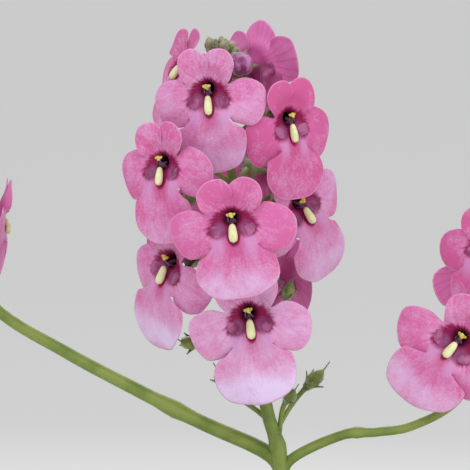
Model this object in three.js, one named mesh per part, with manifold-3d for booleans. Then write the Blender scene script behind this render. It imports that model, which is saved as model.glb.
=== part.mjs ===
// Potted twinspur: a bushy plant in a plain clay pot, with spikes of pink blooms that carry two spurs behind.
// Millimetres, +Z up. The origin is the middle of the pot's foot, and the tallest spike faces -Y.
// Turns are in degrees: yaw 0 faces -Y and grows towards +X, pitch is upwards, and roll is anticlockwise as
// seen from in front.
import * as THREE from "three";
import Module from "manifold-3d";

const wasm = await Module();
wasm.setup();

// Pot and soil
const pot = {
  height: 108,
  rimRadius: 62,
  bandHeight: 24,
  bandProud: 3.5,
  footRadius: 42,
  wall: 6,
  floor: 8,
  edge: 1.6,
  drainRadius: 5,
  drainRing: 22,
  drains: 3,
  sides: 28,
};
const soil = { level: 95, mound: 4, lump: 1.1, clearance: 0.35, sides: 18, rings: [0.5, 1] };
const stemHole = { clearance: 1.6, sides: 5, depth: 20 };

// One bloom at size 1: its lobes are ellipses round the throat, each with its middle at "out" along "angle"
const bloom = {
  lip: { out: 8.9, along: 5.6, across: 6.9, rise: 1.5, curl: -1.9 },
  lateral: { out: 7.2, along: 4, across: 4.2, rise: 0.6, curl: -2.6 },
  upper: { out: 4.5, along: 3.1, across: 3.2, rise: 0.9, curl: 0.3 },
  upperAngle: 33,
  thickness: 0.65,
  throatRadius: 2.7,
  notchRoom: 1.2,
  throatDepth: 1.9,
  throatLip: 0.1,
  tubeDepth: 4.4,
  spur: { root: 0.6, out: 2.5, down: 1.7, spread: 1.4, drop: 4.6, back: 6.4, radius: 1.25 },
  club: { length: 3.3, radius: 0.8, top: -0.9, front: 0.4 },
};
// Points along each lobe's edge, sides of a spur and of a calyx, and what a bloom has at either detail
const fine = { lip: 7, lateral: 4, upper: 3, spurSides: 4, bentSpurs: true, club: true, calyxSides: 5 };
const plain = { lip: 5, lateral: 3, upper: 3, spurSides: 3, bentSpurs: false, club: false, calyxSides: 4 };

// What a flower stalk carries, as distances along the bloom's axis and radii there
const pedicelRadius = 0.48;
const calyx = [[-7.8, 0.55], [-4.8, 2.3]];
const pod = [[-4.4, 0.5], [-3.2, 1.4], [-0.2, 1.45], [0.6, 0]];
const bud = [[-2.8, 0.5], [-1.2, 1.75], [1, 2], [2.8, 0]];

// The tallest spike's blooms, placed one by one: middle of the throat, turn as [yaw, pitch, roll], size,
// how far the lobes are drawn in sideways, how far the side lobes droop, how long the lip is for the size
const frontBlooms = [
  { name: "crown", at: [-4.6, -17.6, 277], turn: [-9, -6, 3], size: 1.02, wide: 0.86, droop: 20 },
  { name: "crown_right", at: [9.5, -13.9, 272.1], turn: [26, -2, 7], size: 1, wide: 0.8, droop: 28 },
  { name: "middle", at: [-0.6, -24.5, 256.1], turn: [-2, 0, 6], size: 0.98, droop: 18 },
  { name: "left", at: [-12.5, -17.2, 265], turn: [-28, 4, 3], size: 0.98, wide: 0.82, droop: 16 },
  { name: "right", at: [11.6, -3, 257], turn: [38, -4, 32], size: 1.02, wide: 0.9, droop: 20, lip: 1.1 },
  { name: "low_left", at: [-11.7, -9, 247.6], turn: [-44, 0, -17], size: 1.04, wide: 0.86, droop: 28, lip: 1.1 },
  { name: "low", at: [2.3, -15, 239.2], turn: [0, 0, 7], size: 1.06, wide: 0.94, droop: 25, lip: 1.08 },
  { name: "crown_left", at: [-9.3, -1.4, 281.3], turn: [-62, 24, 2], size: 0.86, droop: 14 },
  { name: "crown_back", at: [3.7, 0.8, 280.8], turn: [142, 6, -23], size: 1.02, droop: 14 },
];
const backBlooms = [
  { name: "back_left", at: [-12.4, 7, 257.6], turn: [-122, 0, 6], size: 0.94, droop: 16 },
  { name: "back", at: [4.5, 12.5, 262.4], turn: [160, 2, -4], size: 0.94, droop: 16 },
  { name: "back_low", at: [9.2, 13, 243.2], turn: [128, 0, 4], size: 0.98, droop: 18 },
];
// Seed pods whose petals have dropped, the large bud beside the crown and the small ones at its tip
const mainPods = [
  { at: [15.2, 2, 226.8], root: 216, turn: [60, 44], size: 1 },
  { at: [9.8, 1.5, 242.4], root: 231, turn: [40, 64], size: 0.75 },
  { at: [-9, -3, 232.8], root: 225, turn: [-38, 12], size: 0.95 },
  { at: [10.2, -2.5, 224], root: 214, turn: [30, 40], size: 0.8 },
  { at: [-3, 8, 226], root: 218, turn: [200, 30], size: 0.9 },
];
const mainBuds = [
  { at: [1, -6, 280.9], root: 273, turn: [14, -8], size: 1.08 },
  { at: [-4.3, -3.4, 284.6], root: 281, turn: [-20, 60], size: 0.4 },
  { at: [-2, -3.6, 284], root: 281, turn: [20, 40], size: 0.38 },
  { at: [-4.4, 1, 284], root: 280.5, turn: [210, 40], size: 0.46 },
  { at: [-0.6, 0.4, 283.8], root: 280.5, turn: [110, 50], size: 0.42 },
];

// Stems, each a smooth path. "spike" is where on it the flowers start and end, as shares of its length
const trunk = {
  name: "stem_main",
  sides: 6,
  steps: 16,
  path: [
    [2, 0, 86], [2, 0, 100], [3, 2, 130], [8, 3, 170], [8.6, 1, 198], [7.8, 0, 212.2], [5.6, 0, 220.4],
    [3.9, 0, 231.5], [2.2, 0, 243.4], [0.2, 0, 257.1], [-1.9, 0, 270.8], [-3, -1, 283],
  ],
  radius: [1.7, 0.7],
  leaves: { from: 0.115, to: 0.375, pairs: 6, size: [1.15, 0.85], turn: 20 },
};
const branches = [
  {
    name: "left",
    path: [
      [8.4, 1, 205.5], [6.6, 1.4, 211.9], [-6, 4, 217.6], [-18, 6, 223.4], [-30, 8, 229.5], [-43, 10, 237.4],
      [-52, 11, 250], [-56.5, 11, 263], [-58.5, 10.5, 276],
    ],
    radius: [1.5, 0.7],
    spike: { from: 0.66, to: 0.94, blooms: 4, yaw: -40, seed: 31 },
  },
  {
    name: "right",
    path: [
      [8.6, 0.6, 206], [9.6, 0.2, 211.4], [18.7, -1, 216.1], [24.7, -2, 216.8], [31, -2.5, 218],
      [38.5, -3, 222.5], [43.5, -3, 232], [46.5, -3, 244], [47.5, -3, 257],
    ],
    radius: [0.95, 0.6],
    first: { at: [38.2, -13.5, 234.8], turn: [-10, 2, -40], size: 1.02, droop: 32, root: 224 },
    spike: { from: 0.76, to: 0.95, blooms: 3, yaw: 60, seed: 47 },
  },
];
const sideStems = [
  {
    name: "front_left",
    path: [
      [-14, -14, 86], [-14, -14, 100], [-24, -26, 131], [-35, -40, 162], [-42, -49, 186], [-44, -53, 203],
    ],
    spike: { from: 0.66, to: 0.95, blooms: 4, yaw: -20, seed: 3 },
    turn: 10,
  },
  {
    name: "front_right",
    path: [[15, -12, 86], [15, -12, 100], [28, -23, 127], [42, -36, 152], [51, -44, 174], [54, -47, 191]],
    spike: { from: 0.66, to: 0.95, blooms: 4, yaw: 35, seed: 7 },
    turn: 40,
  },
  {
    name: "back_right",
    path: [[15, 13, 86], [15, 13, 100], [29, 25, 131], [45, 37, 161], [57, 43, 187], [61, 45, 204]],
    spike: { from: 0.67, to: 0.95, blooms: 4, yaw: 95, seed: 11 },
    turn: 24,
  },
  {
    name: "back_left",
    path: [[-14, 15, 86], [-14, 15, 100], [-30, 29, 130], [-47, 41, 158], [-59, 49, 181], [-63, 51, 197]],
    spike: { from: 0.67, to: 0.95, blooms: 3, yaw: -150, seed: 17 },
    turn: 55,
  },
  {
    name: "back",
    path: [[-1, 21, 86], [-1, 21, 100], [-2, 36, 127], [-4, 53, 152], [-5, 63, 172], [-5, 66, 187]],
    spike: { from: 0.66, to: 0.94, blooms: 3, yaw: 160, seed: 23 },
    turn: 30,
  },
  {
    name: "front",
    path: [[-1, -22, 86], [-1, -22, 100], [-3, -38, 116], [-6, -56, 130], [-8, -68, 144], [-8.5, -72, 159]],
    spike: { from: 0.64, to: 0.94, blooms: 3, yaw: 10, seed: 29 },
    turn: 75,
  },
];
const shoots = [
  {
    name: "left",
    turn: 5,
    path: [[-24, 0, 86], [-24, 0, 100], [-38, -3, 118], [-54, -6, 134], [-66, -8, 152]],
  },
  {
    name: "right",
    turn: 60,
    path: [[26, -1, 86], [26, -1, 100], [41, -2, 117], [57, -3, 132], [69, -3, 149]],
  },
  {
    name: "inner_left",
    turn: 30,
    path: [[-8, 6, 86], [-8, 6, 100], [-14, 10, 128], [-19, 14, 156], [-22, 16, 180]],
  },
  {
    name: "inner_right",
    turn: 80,
    path: [[8, -8, 86], [8, -8, 100], [14, -12, 126], [18, -16, 150], [21, -18, 172]],
  },
];
const branchForm = { sides: 5, steps: 9 };
const sideStem = {
  radius: [1.35, 0.65],
  sides: 5,
  steps: 6,
  leaves: { from: 0.2, to: 0.62, pairs: 4, size: [1.15, 0.85] },
};
const shoot = {
  radius: [1.1, 0.5],
  sides: 5,
  steps: 5,
  leaves: { from: 0.3, to: 0.97, pairs: 4, size: [1.15, 0.7] },
};

// A leaf at size 1: points of its toothed edge as shares of its length and half width
const leaf = {
  length: 21,
  halfWidth: 7.2,
  thickness: 0.65,
  fold: 0.28,
  arch: 0.22,
  rise: 24,
  bends: [0, 18, -16, 36, -30],
  edge: [[0.22, 0.82], [0.48, 1], [0.6, 0.72]],
  headingJitter: 14,
  sizeJitter: 0.1,
};
// Room that leaves keep
const room = { leafToLeaf: 3.6, leafToRest: 2.6, bloomLobe: 3.4, stem: 1.6, overSoil: 2.5, overRim: 3 };
const stemStep = 3;
// Where on a leaf its room is tested, as [share of its length, share of its half width]
const probes = [[0.25, 0.9], [0.5, 0.9], [0.75, 0.9], [0.97, 0.15]];
const golden = 137.5;
const joinTolerance = 0.1;
const spike = {
  reach: 12.4,
  rise: 2.5,
  pitch: 4,
  jitter: 7,
  droop: 19,
  droopJitter: 6,
  size: [1, 0.86],
  pedicelDrop: 5.5,
};
const tipBud = { count: 3, top: 0.985, step: 0.012, out: 2.1, rise: 2.4, pitch: 45, size: 0.72 };

// Colour and roughness of each finish
const finishes = {
  clay: { colour: 0xb5694a, roughness: 0.9 },
  soil: { colour: 0x3b2a20, roughness: 1 },
  stem: { colour: 0x6d8440, roughness: 0.55 },
  petal: { colour: 0xd8769f, roughness: 0.6 },
};

const rad = THREE.MathUtils.degToRad;
const lerp = THREE.MathUtils.lerp;
const vec = (x, y, z) => new THREE.Vector3(x, y, z);
const xAxis = vec(1, 0, 0);
const yAxis = vec(0, 1, 0);
const zAxis = vec(0, 0, 1);

// A repeatable number from 0 to 1 for each seed
function chance(seed) {
  const s = Math.sin(seed * 12.9898 + 4.1414) * 43758.5453;
  return s - Math.floor(s);
}

function jitter(seed, size) {
  return (chance(seed) * 2 - 1) * size;
}

function polar(angle, radius, z) {
  return vec(radius * Math.cos(rad(angle)), radius * Math.sin(rad(angle)), z);
}

// A level direction: 0 is -Y and grows towards +X
function heading(turn) {
  return vec(Math.sin(rad(turn)), -Math.cos(rad(turn)), 0);
}

// Solids

function solidFrom(points, faces) {
  const vertProperties = new Float32Array(points.length * 3);
  points.forEach((p, i) => vertProperties.set([p.x, p.y, p.z], i * 3));
  const volume = faces.reduce((sum, [a, b, c]) => sum + points[a].dot(points[b].clone().cross(points[c])), 0);
  const outward = volume > 0 ? faces : faces.map(([a, b, c]) => [a, c, b]);
  const triVerts = new Uint32Array(outward.flat());
  return new wasm.Manifold(new wasm.Mesh({ numProp: 3, vertProperties, triVerts }));
}

// A closed skin over rings of points, each ring with the same number of points or a single one at a tip
function loft(rings) {
  const points = [];
  const starts = rings.map((ring) => points.push(...ring) - ring.length);
  const faces = [];
  const cap = (k) => {
    const first = starts[k];
    for (let i = 1; i < rings[k].length - 1; i++) {
      faces.push(k ? [first, first + i, first + i + 1] : [first, first + i + 1, first + i]);
    }
  };
  for (let k = 0; k < rings.length - 1; k++) {
    const n = Math.max(rings[k].length, rings[k + 1].length);
    const low = (i) => starts[k] + (rings[k].length === 1 ? 0 : i % n);
    const high = (i) => starts[k + 1] + (rings[k + 1].length === 1 ? 0 : i % n);
    for (let i = 0; i < n; i++) {
      if (rings[k].length > 1) faces.push([low(i), low(i + 1), high(i)]);
      if (rings[k + 1].length > 1) faces.push([low(i + 1), high(i + 1), high(i)]);
    }
  }
  cap(0);
  cap(rings.length - 1);
  return solidFrom(points, faces);
}

function ringOf(centre, side, up, radius, sides) {
  return Array.from({ length: sides }, (_, i) => {
    const { x, y } = polar((i / sides) * 360, radius, 0);
    return centre.clone().addScaledVector(side, x).addScaledVector(up, y);
  });
}

function flatRing(radius, z, sides) {
  return ringOf(vec(0, 0, z), xAxis, yAxis, radius, sides);
}

// Two directions across a tangent, steady along a whole stem because they lean on one fixed axis
function across(tangent, chord) {
  const steady = (Math.abs(chord.x) < 0.8 ? xAxis : yAxis).clone();
  const side = steady.addScaledVector(tangent, -steady.dot(tangent)).normalize();
  return [side, tangent.clone().cross(side)];
}

// A round stem along a curve, its radius running from one end's to the other's
function stalk(curve, { radius, sides, steps }) {
  const chord = curve.getPoint(1).sub(curve.getPoint(0)).normalize();
  const rings = Array.from({ length: steps + 1 }, (_, i) => {
    const t = i / steps;
    const [side, up] = across(curve.getTangent(t), chord);
    return ringOf(curve.getPoint(t), side, up, lerp(radius[0], radius[1], t), sides);
  });
  return loft(rings);
}

function smoothPath(points) {
  return new THREE.CatmullRomCurve3(points.map((p) => vec(...p)), false, "catmullrom", 0.5);
}

// Joined solids, with the slivers that joining leaves smoothed away
function union(solids) {
  return wasm.Manifold.union(solids).asOriginal().simplify(joinTolerance);
}

function meshOf(name, solid, { colour, roughness }) {
  const made = solid.getMesh();
  const geometry = new THREE.BufferGeometry();
  geometry.setAttribute("position", new THREE.BufferAttribute(new Float32Array(made.vertProperties), 3));
  geometry.setIndex(new THREE.BufferAttribute(new Uint32Array(made.triVerts), 1));
  geometry.computeVertexNormals();
  const material = new THREE.MeshStandardMaterial({ color: colour, roughness, metalness: 0 });
  const mesh = new THREE.Mesh(geometry, material);
  mesh.name = name;
  return mesh;
}

// Blooms

// Places a bloom's own x right, y up and z out of its face in the part's frame
function facing({ at, turn: [yaw, pitch, roll = 0] }) {
  return new THREE.Matrix4()
    .makeRotationZ(rad(yaw))
    .multiply(new THREE.Matrix4().makeRotationX(rad(90 - pitch)))
    .multiply(new THREE.Matrix4().makeRotationZ(rad(roll)))
    .setPosition(...at);
}

function lobesOf({ droop, lip = 1 }) {
  return [
    { ...bloom.lateral, kind: "lateral", angle: -droop },
    { ...bloom.upper, kind: "upper", angle: 90 - bloom.upperAngle },
    { ...bloom.upper, kind: "upper", angle: 90 + bloom.upperAngle },
    { ...bloom.lateral, kind: "lateral", angle: 180 + droop },
    { ...bloom.lip, kind: "lip", angle: 270, out: bloom.lip.out * lip, along: bloom.lip.along * lip },
  ];
}

// How far a lobe's edge lies from the throat in one direction
function edgeOf(lobe, angle) {
  const c = Math.cos(rad(angle - lobe.angle));
  const s = Math.sin(rad(angle - lobe.angle));
  const a = (c / lobe.along) ** 2 + (s / lobe.across) ** 2;
  const b = (lobe.out * c) / lobe.along ** 2;
  const under = b * b - a * ((lobe.out / lobe.along) ** 2 - 1);
  return under < 0 || c < 0 ? 0 : (b + Math.sqrt(under)) / a;
}

// The direction of the notch between two neighbouring lobes
function notchBetween(low, high) {
  let [from, to] = [low.angle, high.angle];
  for (let i = 0; i < 24; i++) {
    const middle = (from + to) / 2;
    if (edgeOf(low, middle) > edgeOf(high, middle)) from = middle;
    else to = middle;
  }
  return (from + to) / 2;
}

function petalHeight(lobe, radius) {
  return (lobe.rise * radius) / 10 + lobe.curl * (radius / 10) ** 2;
}

// Directions round the bloom with the edge's distance and height in each, notches included
function spokesOf(place, detail) {
  const lobes = lobesOf(place);
  return lobes.flatMap((lobe, k) => {
    const before = lobes[(k + 4) % 5];
    const after = lobes[(k + 1) % 5];
    const from = notchBetween({ ...before, angle: before.angle - (k ? 0 : 360) }, lobe);
    const to = notchBetween(lobe, { ...after, angle: after.angle + (k < 4 ? 0 : 360) });
    const count = detail[lobe.kind];
    return Array.from({ length: count }, (_, i) => {
      const angle = from + ((to - from) * i) / count;
      const edge = Math.max(edgeOf(lobe, angle), edgeOf(before, angle + (k ? 0 : 360)));
      const reach = Math.max(edge, bloom.throatRadius + bloom.notchRoom);
      return { angle, reach, height: petalHeight(lobe, reach) };
    });
  });
}

// The corolla is one sheet with five lobes round a sunk throat, closed behind by the cone in the calyx
function corolla(place, detail) {
  const spokes = spokesOf(place, detail);
  const n = spokes.length;
  const { throatRadius, throatLip, throatDepth, thickness, tubeDepth } = bloom;
  const points = [
    ...spokes.map((s) => polar(s.angle, s.reach, s.height)),
    ...spokes.map((s) => polar(s.angle, throatRadius, -throatLip)),
    vec(0, 0, -throatDepth),
    ...spokes.map((s) => polar(s.angle, s.reach, s.height - thickness)),
    ...spokes.map((s) => polar(s.angle, throatRadius, -throatLip - thickness * 1.6)),
    vec(0, 0, -tubeDepth),
  ];
  const back = 2 * n + 1;
  const faces = [];
  for (let i = 0; i < n; i++) {
    const j = (i + 1) % n;
    faces.push([n + i, i, j], [n + i, j, n + j], [2 * n, n + i, n + j]);
    faces.push([back + n + i, back + j, back + i], [back + n + i, back + n + j, back + j]);
    faces.push([back + 2 * n, back + n + j, back + n + i], [i, back + i, back + j], [i, back + j, j]);
  }
  return solidFrom(points, faces);
}

function spurSolid(side, detail) {
  const s = bloom.spur;
  const root = vec(side * s.out, -s.down, -s.root);
  const bend = vec(side * (s.out + s.spread * 0.7), -s.down - s.drop * 0.35, -s.back * 0.62);
  const tip = vec(side * (s.out + s.spread), -s.down - s.drop, -s.back);
  const ring = (at, radius) => ringOf(at, xAxis, yAxis, radius, detail.spurSides);
  return loft([ring(root, s.radius), ...(detail.bentSpurs ? [ring(bend, s.radius * 0.62)] : []), [tip]]);
}

// The pale club that stands in the throat above the lip
function clubSolid() {
  const { length, radius, top, front } = bloom.club;
  const ring = (y, z, r) => ringOf(vec(0, y, z), xAxis, zAxis, r, 5);
  return loft([
    [vec(0, top + 0.5, -bloom.throatDepth - 0.3)],
    ring(top - length * 0.35, front - 0.7, radius),
    ring(top - length * 0.85, front, radius * 0.95),
    [vec(0, top - length, front + 0.1)],
  ]);
}

function bloomSolid(place, detail) {
  const pieces = [corolla(place, detail), spurSolid(-1, detail), spurSolid(1, detail)];
  if (detail.club) pieces.push(clubSolid());
  const scale = new THREE.Matrix4().makeScale(place.size * (place.wide ?? 1), place.size, place.size);
  return union(pieces).transform(facing(place).multiply(scale).elements);
}

// Calyxes, stalks, pods and buds, all green parts of a spike

// A curve from the stem to the back of a bloom, pod or bud, arriving along its axis
function pedicelCurve(root, end, axis) {
  const reach = end.distanceTo(root);
  const start = end.clone().sub(root).multiplyScalar(0.35).add(root);
  start.z += reach * 0.1;
  return new THREE.CubicBezierCurve3(root, start, end.clone().addScaledVector(axis, -reach * 0.3), end);
}

// A flower stalk with what it carries: the profile gives distances along the bloom's axis and radii there
function stalked(root, place, profile, sides, joints = [0, 0.3, 0.65]) {
  const at = facing(place);
  const axis = zAxis.clone().transformDirection(at);
  const onAxis = (z) => vec(0, 0, z).applyMatrix4(at);
  const curve = pedicelCurve(root, onAxis(profile[0][0]), axis);
  const chord = onAxis(0).sub(root).normalize();
  const stem = joints.map((t) => {
    const [side, up] = across(curve.getTangent(t), chord);
    return ringOf(curve.getPoint(t), side, up, pedicelRadius, sides);
  });
  const [side, up] = across(axis, chord);
  const head = profile.map(([z, r]) => (r ? ringOf(onAxis(z), side, up, r, sides) : [onAxis(z)]));
  return loft([...stem, ...head]);
}

function scaled(profile, size) {
  return profile.map(([z, r]) => [z * size, r * size]);
}

// Leaves, each grown only where it has room

const taken = []; // points that other pieces fill, as { at, room, owner, leafy }

function fillStem(curve, owner) {
  const count = Math.round(curve.getLength() / stemStep);
  for (let i = 0; i <= count; i++) taken.push({ at: curve.getPoint(i / count), room: room.stem, owner });
}

function fillBloom(place) {
  const at = facing(place);
  const fill = (point) => taken.push({ at: point.applyMatrix4(at), room: room.bloomLobe, owner: place.name });
  for (const lobe of lobesOf(place)) {
    for (const share of [0.1, 1]) {
      fill(polar(lobe.angle, (lobe.out + (lobe.along - 2) * share) * place.size, 0));
    }
  }
  fill(vec(0, 0, -2.5));
}

// The leaf's own frame at a node of its stem: along is its rib's direction, side is across it
function leafFrame(root, turn, rise) {
  const along = heading(turn).multiplyScalar(Math.cos(rad(rise))).setZ(Math.sin(rad(rise)));
  const side = vec(Math.cos(rad(turn)), Math.sin(rad(turn)), 0);
  return { root, along, side, up: side.clone().cross(along).negate() };
}

function leafPoint(frame, size, share, width, lift = 0) {
  const length = leaf.length * size;
  const half = leaf.halfWidth * size * width;
  return frame.root
    .clone()
    .addScaledVector(frame.along, length * share)
    .addScaledVector(frame.side, half)
    .addScaledVector(frame.up, Math.abs(half) * leaf.fold - leaf.arch * length * share * share + lift);
}

function leafProbe(frame, size) {
  const sides = [-1, 0, 1];
  return probes.flatMap(([share, width]) => sides.map((side) => leafPoint(frame, size, share, side * width)));
}

function clearOfPot(p) {
  const radius = Math.hypot(p.x, p.y);
  const inside = radius < pot.rimRadius - pot.wall - room.overRim;
  const overSoil = inside && p.z > soil.level + soil.mound + room.overSoil;
  const overRim = p.z > pot.height + room.overRim;
  const outside = radius > pot.rimRadius + room.overRim;
  return overSoil || overRim || outside;
}

function hasRoom(probe, owner) {
  return probe.every(
    (p) =>
      clearOfPot(p) &&
      taken.every((t) => {
        if (t.leafy) return t.at.distanceTo(p) > room.leafToLeaf;
        return t.owner === owner || t.at.distanceTo(p) > t.room + room.leafToRest;
      }),
  );
}

function leafSolid(frame, size) {
  const otherEdge = leaf.edge.toReversed().map(([t, w]) => [t, -w]);
  const outline = [[0, 0], ...leaf.edge, [1, 0], ...otherEdge];
  const n = outline.length;
  const face = (lift) => [...outline, [0.5, 0]].map(([t, w]) => leafPoint(frame, size, t, w, lift));
  const points = [...face(leaf.thickness / 2), ...face(-leaf.thickness / 2)];
  const faces = [];
  for (let i = 0; i < n; i++) {
    const j = (i + 1) % n;
    faces.push([i, j, n], [n + 1 + j, n + 1 + i, 2 * n + 1], [i, n + 1 + i, n + 1 + j], [i, n + 1 + j, j]);
  }
  return solidFrom(points, faces);
}

// Opposite pairs, each pair turned a quarter from the one below
function leavesOn(owner, curve, { from, to, pairs, size }, turn) {
  const grown = [];
  for (let k = 0; k < pairs; k++) {
    const share = k / (pairs - 1);
    const root = curve.getPoint(lerp(from, to, share));
    for (const half of [0, 1]) {
      const way = turn + k * 90 + half * 180 + jitter(turn + k * 7 + half * 3, leaf.headingJitter);
      const leafSize = lerp(size[0], size[1], share) * (1 + jitter(turn + k * 5 + half, leaf.sizeJitter));
      const frames = leaf.bends.map((bend) => leafFrame(root, way, leaf.rise + bend));
      const frame = frames.find((candidate) => hasRoom(leafProbe(candidate, leafSize), owner));
      if (!frame) continue;
      leafProbe(frame, leafSize).forEach((p) => taken.push({ at: p, owner, leafy: true }));
      grown.push(leafSolid(frame, leafSize));
    }
  }
  return grown;
}

// Blooms of a side spike stand round its stem a golden angle apart, smaller towards the tip
function spikeBlooms(name, curve, { from, to, blooms, yaw, seed }) {
  return Array.from({ length: blooms }, (_, i) => {
    const share = (i + 0.5) / blooms;
    const size = lerp(spike.size[0], spike.size[1], share);
    const way = yaw + i * golden;
    const at = curve.getPoint(lerp(from, to, share)).addScaledVector(heading(way), spike.reach * size);
    at.z += spike.rise;
    const [sway, nod, roll] = [0, 20, 40].map((k) => jitter(seed + i + k, spike.jitter));
    return {
      name: `${name}_${i + 1}`,
      at: at.toArray(),
      turn: [way + sway, spike.pitch + nod, roll],
      size,
      droop: spike.droop + jitter(seed + i + 60, spike.droopJitter),
    };
  });
}

function rootOn(curve, height) {
  let [low, high] = [0, 1];
  for (let i = 0; i < 24; i++) {
    const middle = (low + high) / 2;
    if (curve.getPoint(middle).z < height) low = middle;
    else high = middle;
  }
  return curve.getPoint(low);
}

function calyxesFor(curve, places) {
  return places.map((place) => {
    const root = rootOn(curve, place.root ?? place.at[2] - spike.pedicelDrop * place.size);
    return stalked(root, place, scaled(calyx, place.size), (place.detail ?? plain).calyxSides);
  });
}

// Young buds crowd the tip of a spike
function tipBuds(curve, seed) {
  return Array.from({ length: tipBud.count }, (_, i) => {
    const root = curve.getPoint(tipBud.top - tipBud.step * i);
    const way = seed * 40 + i * golden;
    const at = root.clone().addScaledVector(heading(way), tipBud.out).addScaledVector(zAxis, tipBud.rise);
    const place = { at: at.toArray(), turn: [way, tipBud.pitch] };
    return stalked(root, place, scaled(bud, tipBud.size), 4, [0]);
  });
}

// Pot and soil solids

function potOutline() {
  const { height, rimRadius, bandHeight, bandProud, footRadius, wall, floor, edge } = pot;
  const under = rimRadius - bandProud;
  return [
    [0, 0], [footRadius - edge, 0], [footRadius, edge], [under - 1, height - bandHeight - edge],
    [rimRadius - edge, height - bandHeight], [rimRadius, height - edge], [rimRadius - edge, height],
    [rimRadius - wall + edge, height], [rimRadius - wall, height - edge],
    [rimRadius - wall - bandProud, height - bandHeight], [footRadius - wall, floor], [0, floor],
  ];
}

// A turned solid: the outline's first and last points lie on the axis
function turned(outline, sides) {
  return loft(outline.map(([r, z]) => (r ? flatRing(r, z, sides) : [vec(0, 0, z)])));
}

// An upright drill through what lies between two heights
function drill(x, y, from, to, radius, sides) {
  const line = new THREE.LineCurve3(vec(x, y, from), vec(x, y, to));
  return stalk(line, { radius: [radius, radius], sides, steps: 1 });
}

function potSolid() {
  const drains = Array.from({ length: pot.drains }, (_, i) => {
    const { x, y } = polar((i * 360) / pot.drains, pot.drainRing, 0);
    return drill(x, y, -1, pot.floor + 1, pot.drainRadius, 8);
  });
  return turned(potOutline(), pot.sides).subtract(union(drains));
}

// Height of the soil's lumpy top at a point
function soilTop(x, y) {
  const radius = Math.hypot(x, y) / (pot.rimRadius - pot.wall);
  const lumps = Math.sin(x * 0.31 + 1.3) * Math.cos(y * 0.27 - 0.6) + 0.6 * Math.sin(x * 0.57 - y * 0.49);
  return soil.level + soil.mound * (1 - radius * radius) + soil.lump * lumps;
}

function soilSolid(stems) {
  const inside = ([r, z]) => [r - soil.clearance, z + soil.clearance];
  const outline = potOutline();
  const [footR, footZ] = inside(outline[10]);
  const [shoulderR, shoulderZ] = inside(outline[9]);
  const slope = (pot.rimRadius - pot.wall - shoulderR) / (pot.height - shoulderZ);
  const edgeRadius = shoulderR + (soil.level - shoulderZ) * slope - 0.6;
  const top = soil.rings
    .toReversed()
    .map((share) => flatRing(edgeRadius * share, 0, soil.sides).map((p) => p.setZ(soilTop(p.x, p.y))));
  const body = loft([
    [vec(0, 0, footZ)],
    flatRing(footR, footZ, soil.sides),
    flatRing(shoulderR, shoulderZ, soil.sides),
    ...top,
    [vec(0, 0, soilTop(0, 0))],
  ]);
  const holes = stems.map(({ path, radius }) => {
    const [x, y, foot] = path[0];
    return drill(x, y, foot - 1, foot + stemHole.depth, radius[0] + stemHole.clearance, stemHole.sides);
  });
  return body.subtract(union(holes));
}

// The plant

const group = new THREE.Group();
const petalMesh = (place) =>
  group.add(meshOf(`bloom_${place.name}`, bloomSolid(place, place.detail ?? plain), finishes.petal));
const stemMesh = (name, solids) => group.add(meshOf(name, union(solids), finishes.stem));

const mainBlooms = [...frontBlooms.map((place) => ({ ...place, detail: fine })), ...backBlooms];
const trunkCurve = smoothPath(trunk.path);
const branchSpikes = branches.map((branch) => {
  const curve = smoothPath(branch.path);
  const first = branch.first ? [{ ...branch.first, name: `${branch.name}_first` }] : [];
  const places = [...first, ...spikeBlooms(branch.name, curve, branch.spike)];
  return { branch: { ...branchForm, ...branch }, curve, places };
});
const sideSpikes = sideStems.map((stem) => {
  const curve = smoothPath(stem.path);
  return { stem: { ...sideStem, ...stem }, curve, places: spikeBlooms(stem.name, curve, stem.spike) };
});
const shootCurves = shoots.map((stem) => ({ stem: { ...shoot, ...stem }, curve: smoothPath(stem.path) }));

const everyBloom = [...mainBlooms, ...[...branchSpikes, ...sideSpikes].flatMap((s) => s.places)];

everyBloom.forEach(fillBloom);
fillStem(trunkCurve, trunk.name);
branchSpikes.forEach(({ curve }) => fillStem(curve, trunk.name));
[...sideSpikes, ...shootCurves].forEach(({ stem, curve }) => fillStem(curve, stem.name));

const onTrunk = (profile, sides) => (place) =>
  stalked(rootOn(trunkCurve, place.root), place, scaled(profile, place.size), sides, [0, 0.5]);
stemMesh(trunk.name, [
  stalk(trunkCurve, trunk),
  ...calyxesFor(trunkCurve, mainBlooms),
  ...mainPods.map(onTrunk(pod, 4)),
  ...mainBuds.map(onTrunk(bud, 5)),
  ...branchSpikes.flatMap(({ branch, curve, places }) => [
    stalk(curve, branch),
    ...calyxesFor(curve, places),
    ...tipBuds(curve, branch.spike.seed),
  ]),
  ...leavesOn(trunk.name, trunkCurve, trunk.leaves, trunk.leaves.turn),
]);
sideSpikes.forEach(({ stem, curve, places }) =>
  stemMesh(`stem_${stem.name}`, [
    stalk(curve, stem),
    ...calyxesFor(curve, places),
    ...tipBuds(curve, stem.spike.seed),
    ...leavesOn(stem.name, curve, stem.leaves, stem.turn),
  ]),
);
shootCurves.forEach(({ stem, curve }) =>
  stemMesh(`shoot_${stem.name}`, [
    stalk(curve, stem),
    ...leavesOn(stem.name, curve, stem.leaves, stem.turn),
  ]),
);
everyBloom.forEach(petalMesh);

const planted = [trunk, ...sideSpikes.map((s) => s.stem), ...shootCurves.map((s) => s.stem)];
group.add(meshOf("pot", potSolid(), finishes.clay));
group.add(meshOf("soil", soilSolid(planted), finishes.soil));

export default group;
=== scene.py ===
import math
import random

import bpy
from mathutils import Matrix, Vector
from mathutils.kdtree import KDTree


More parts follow.
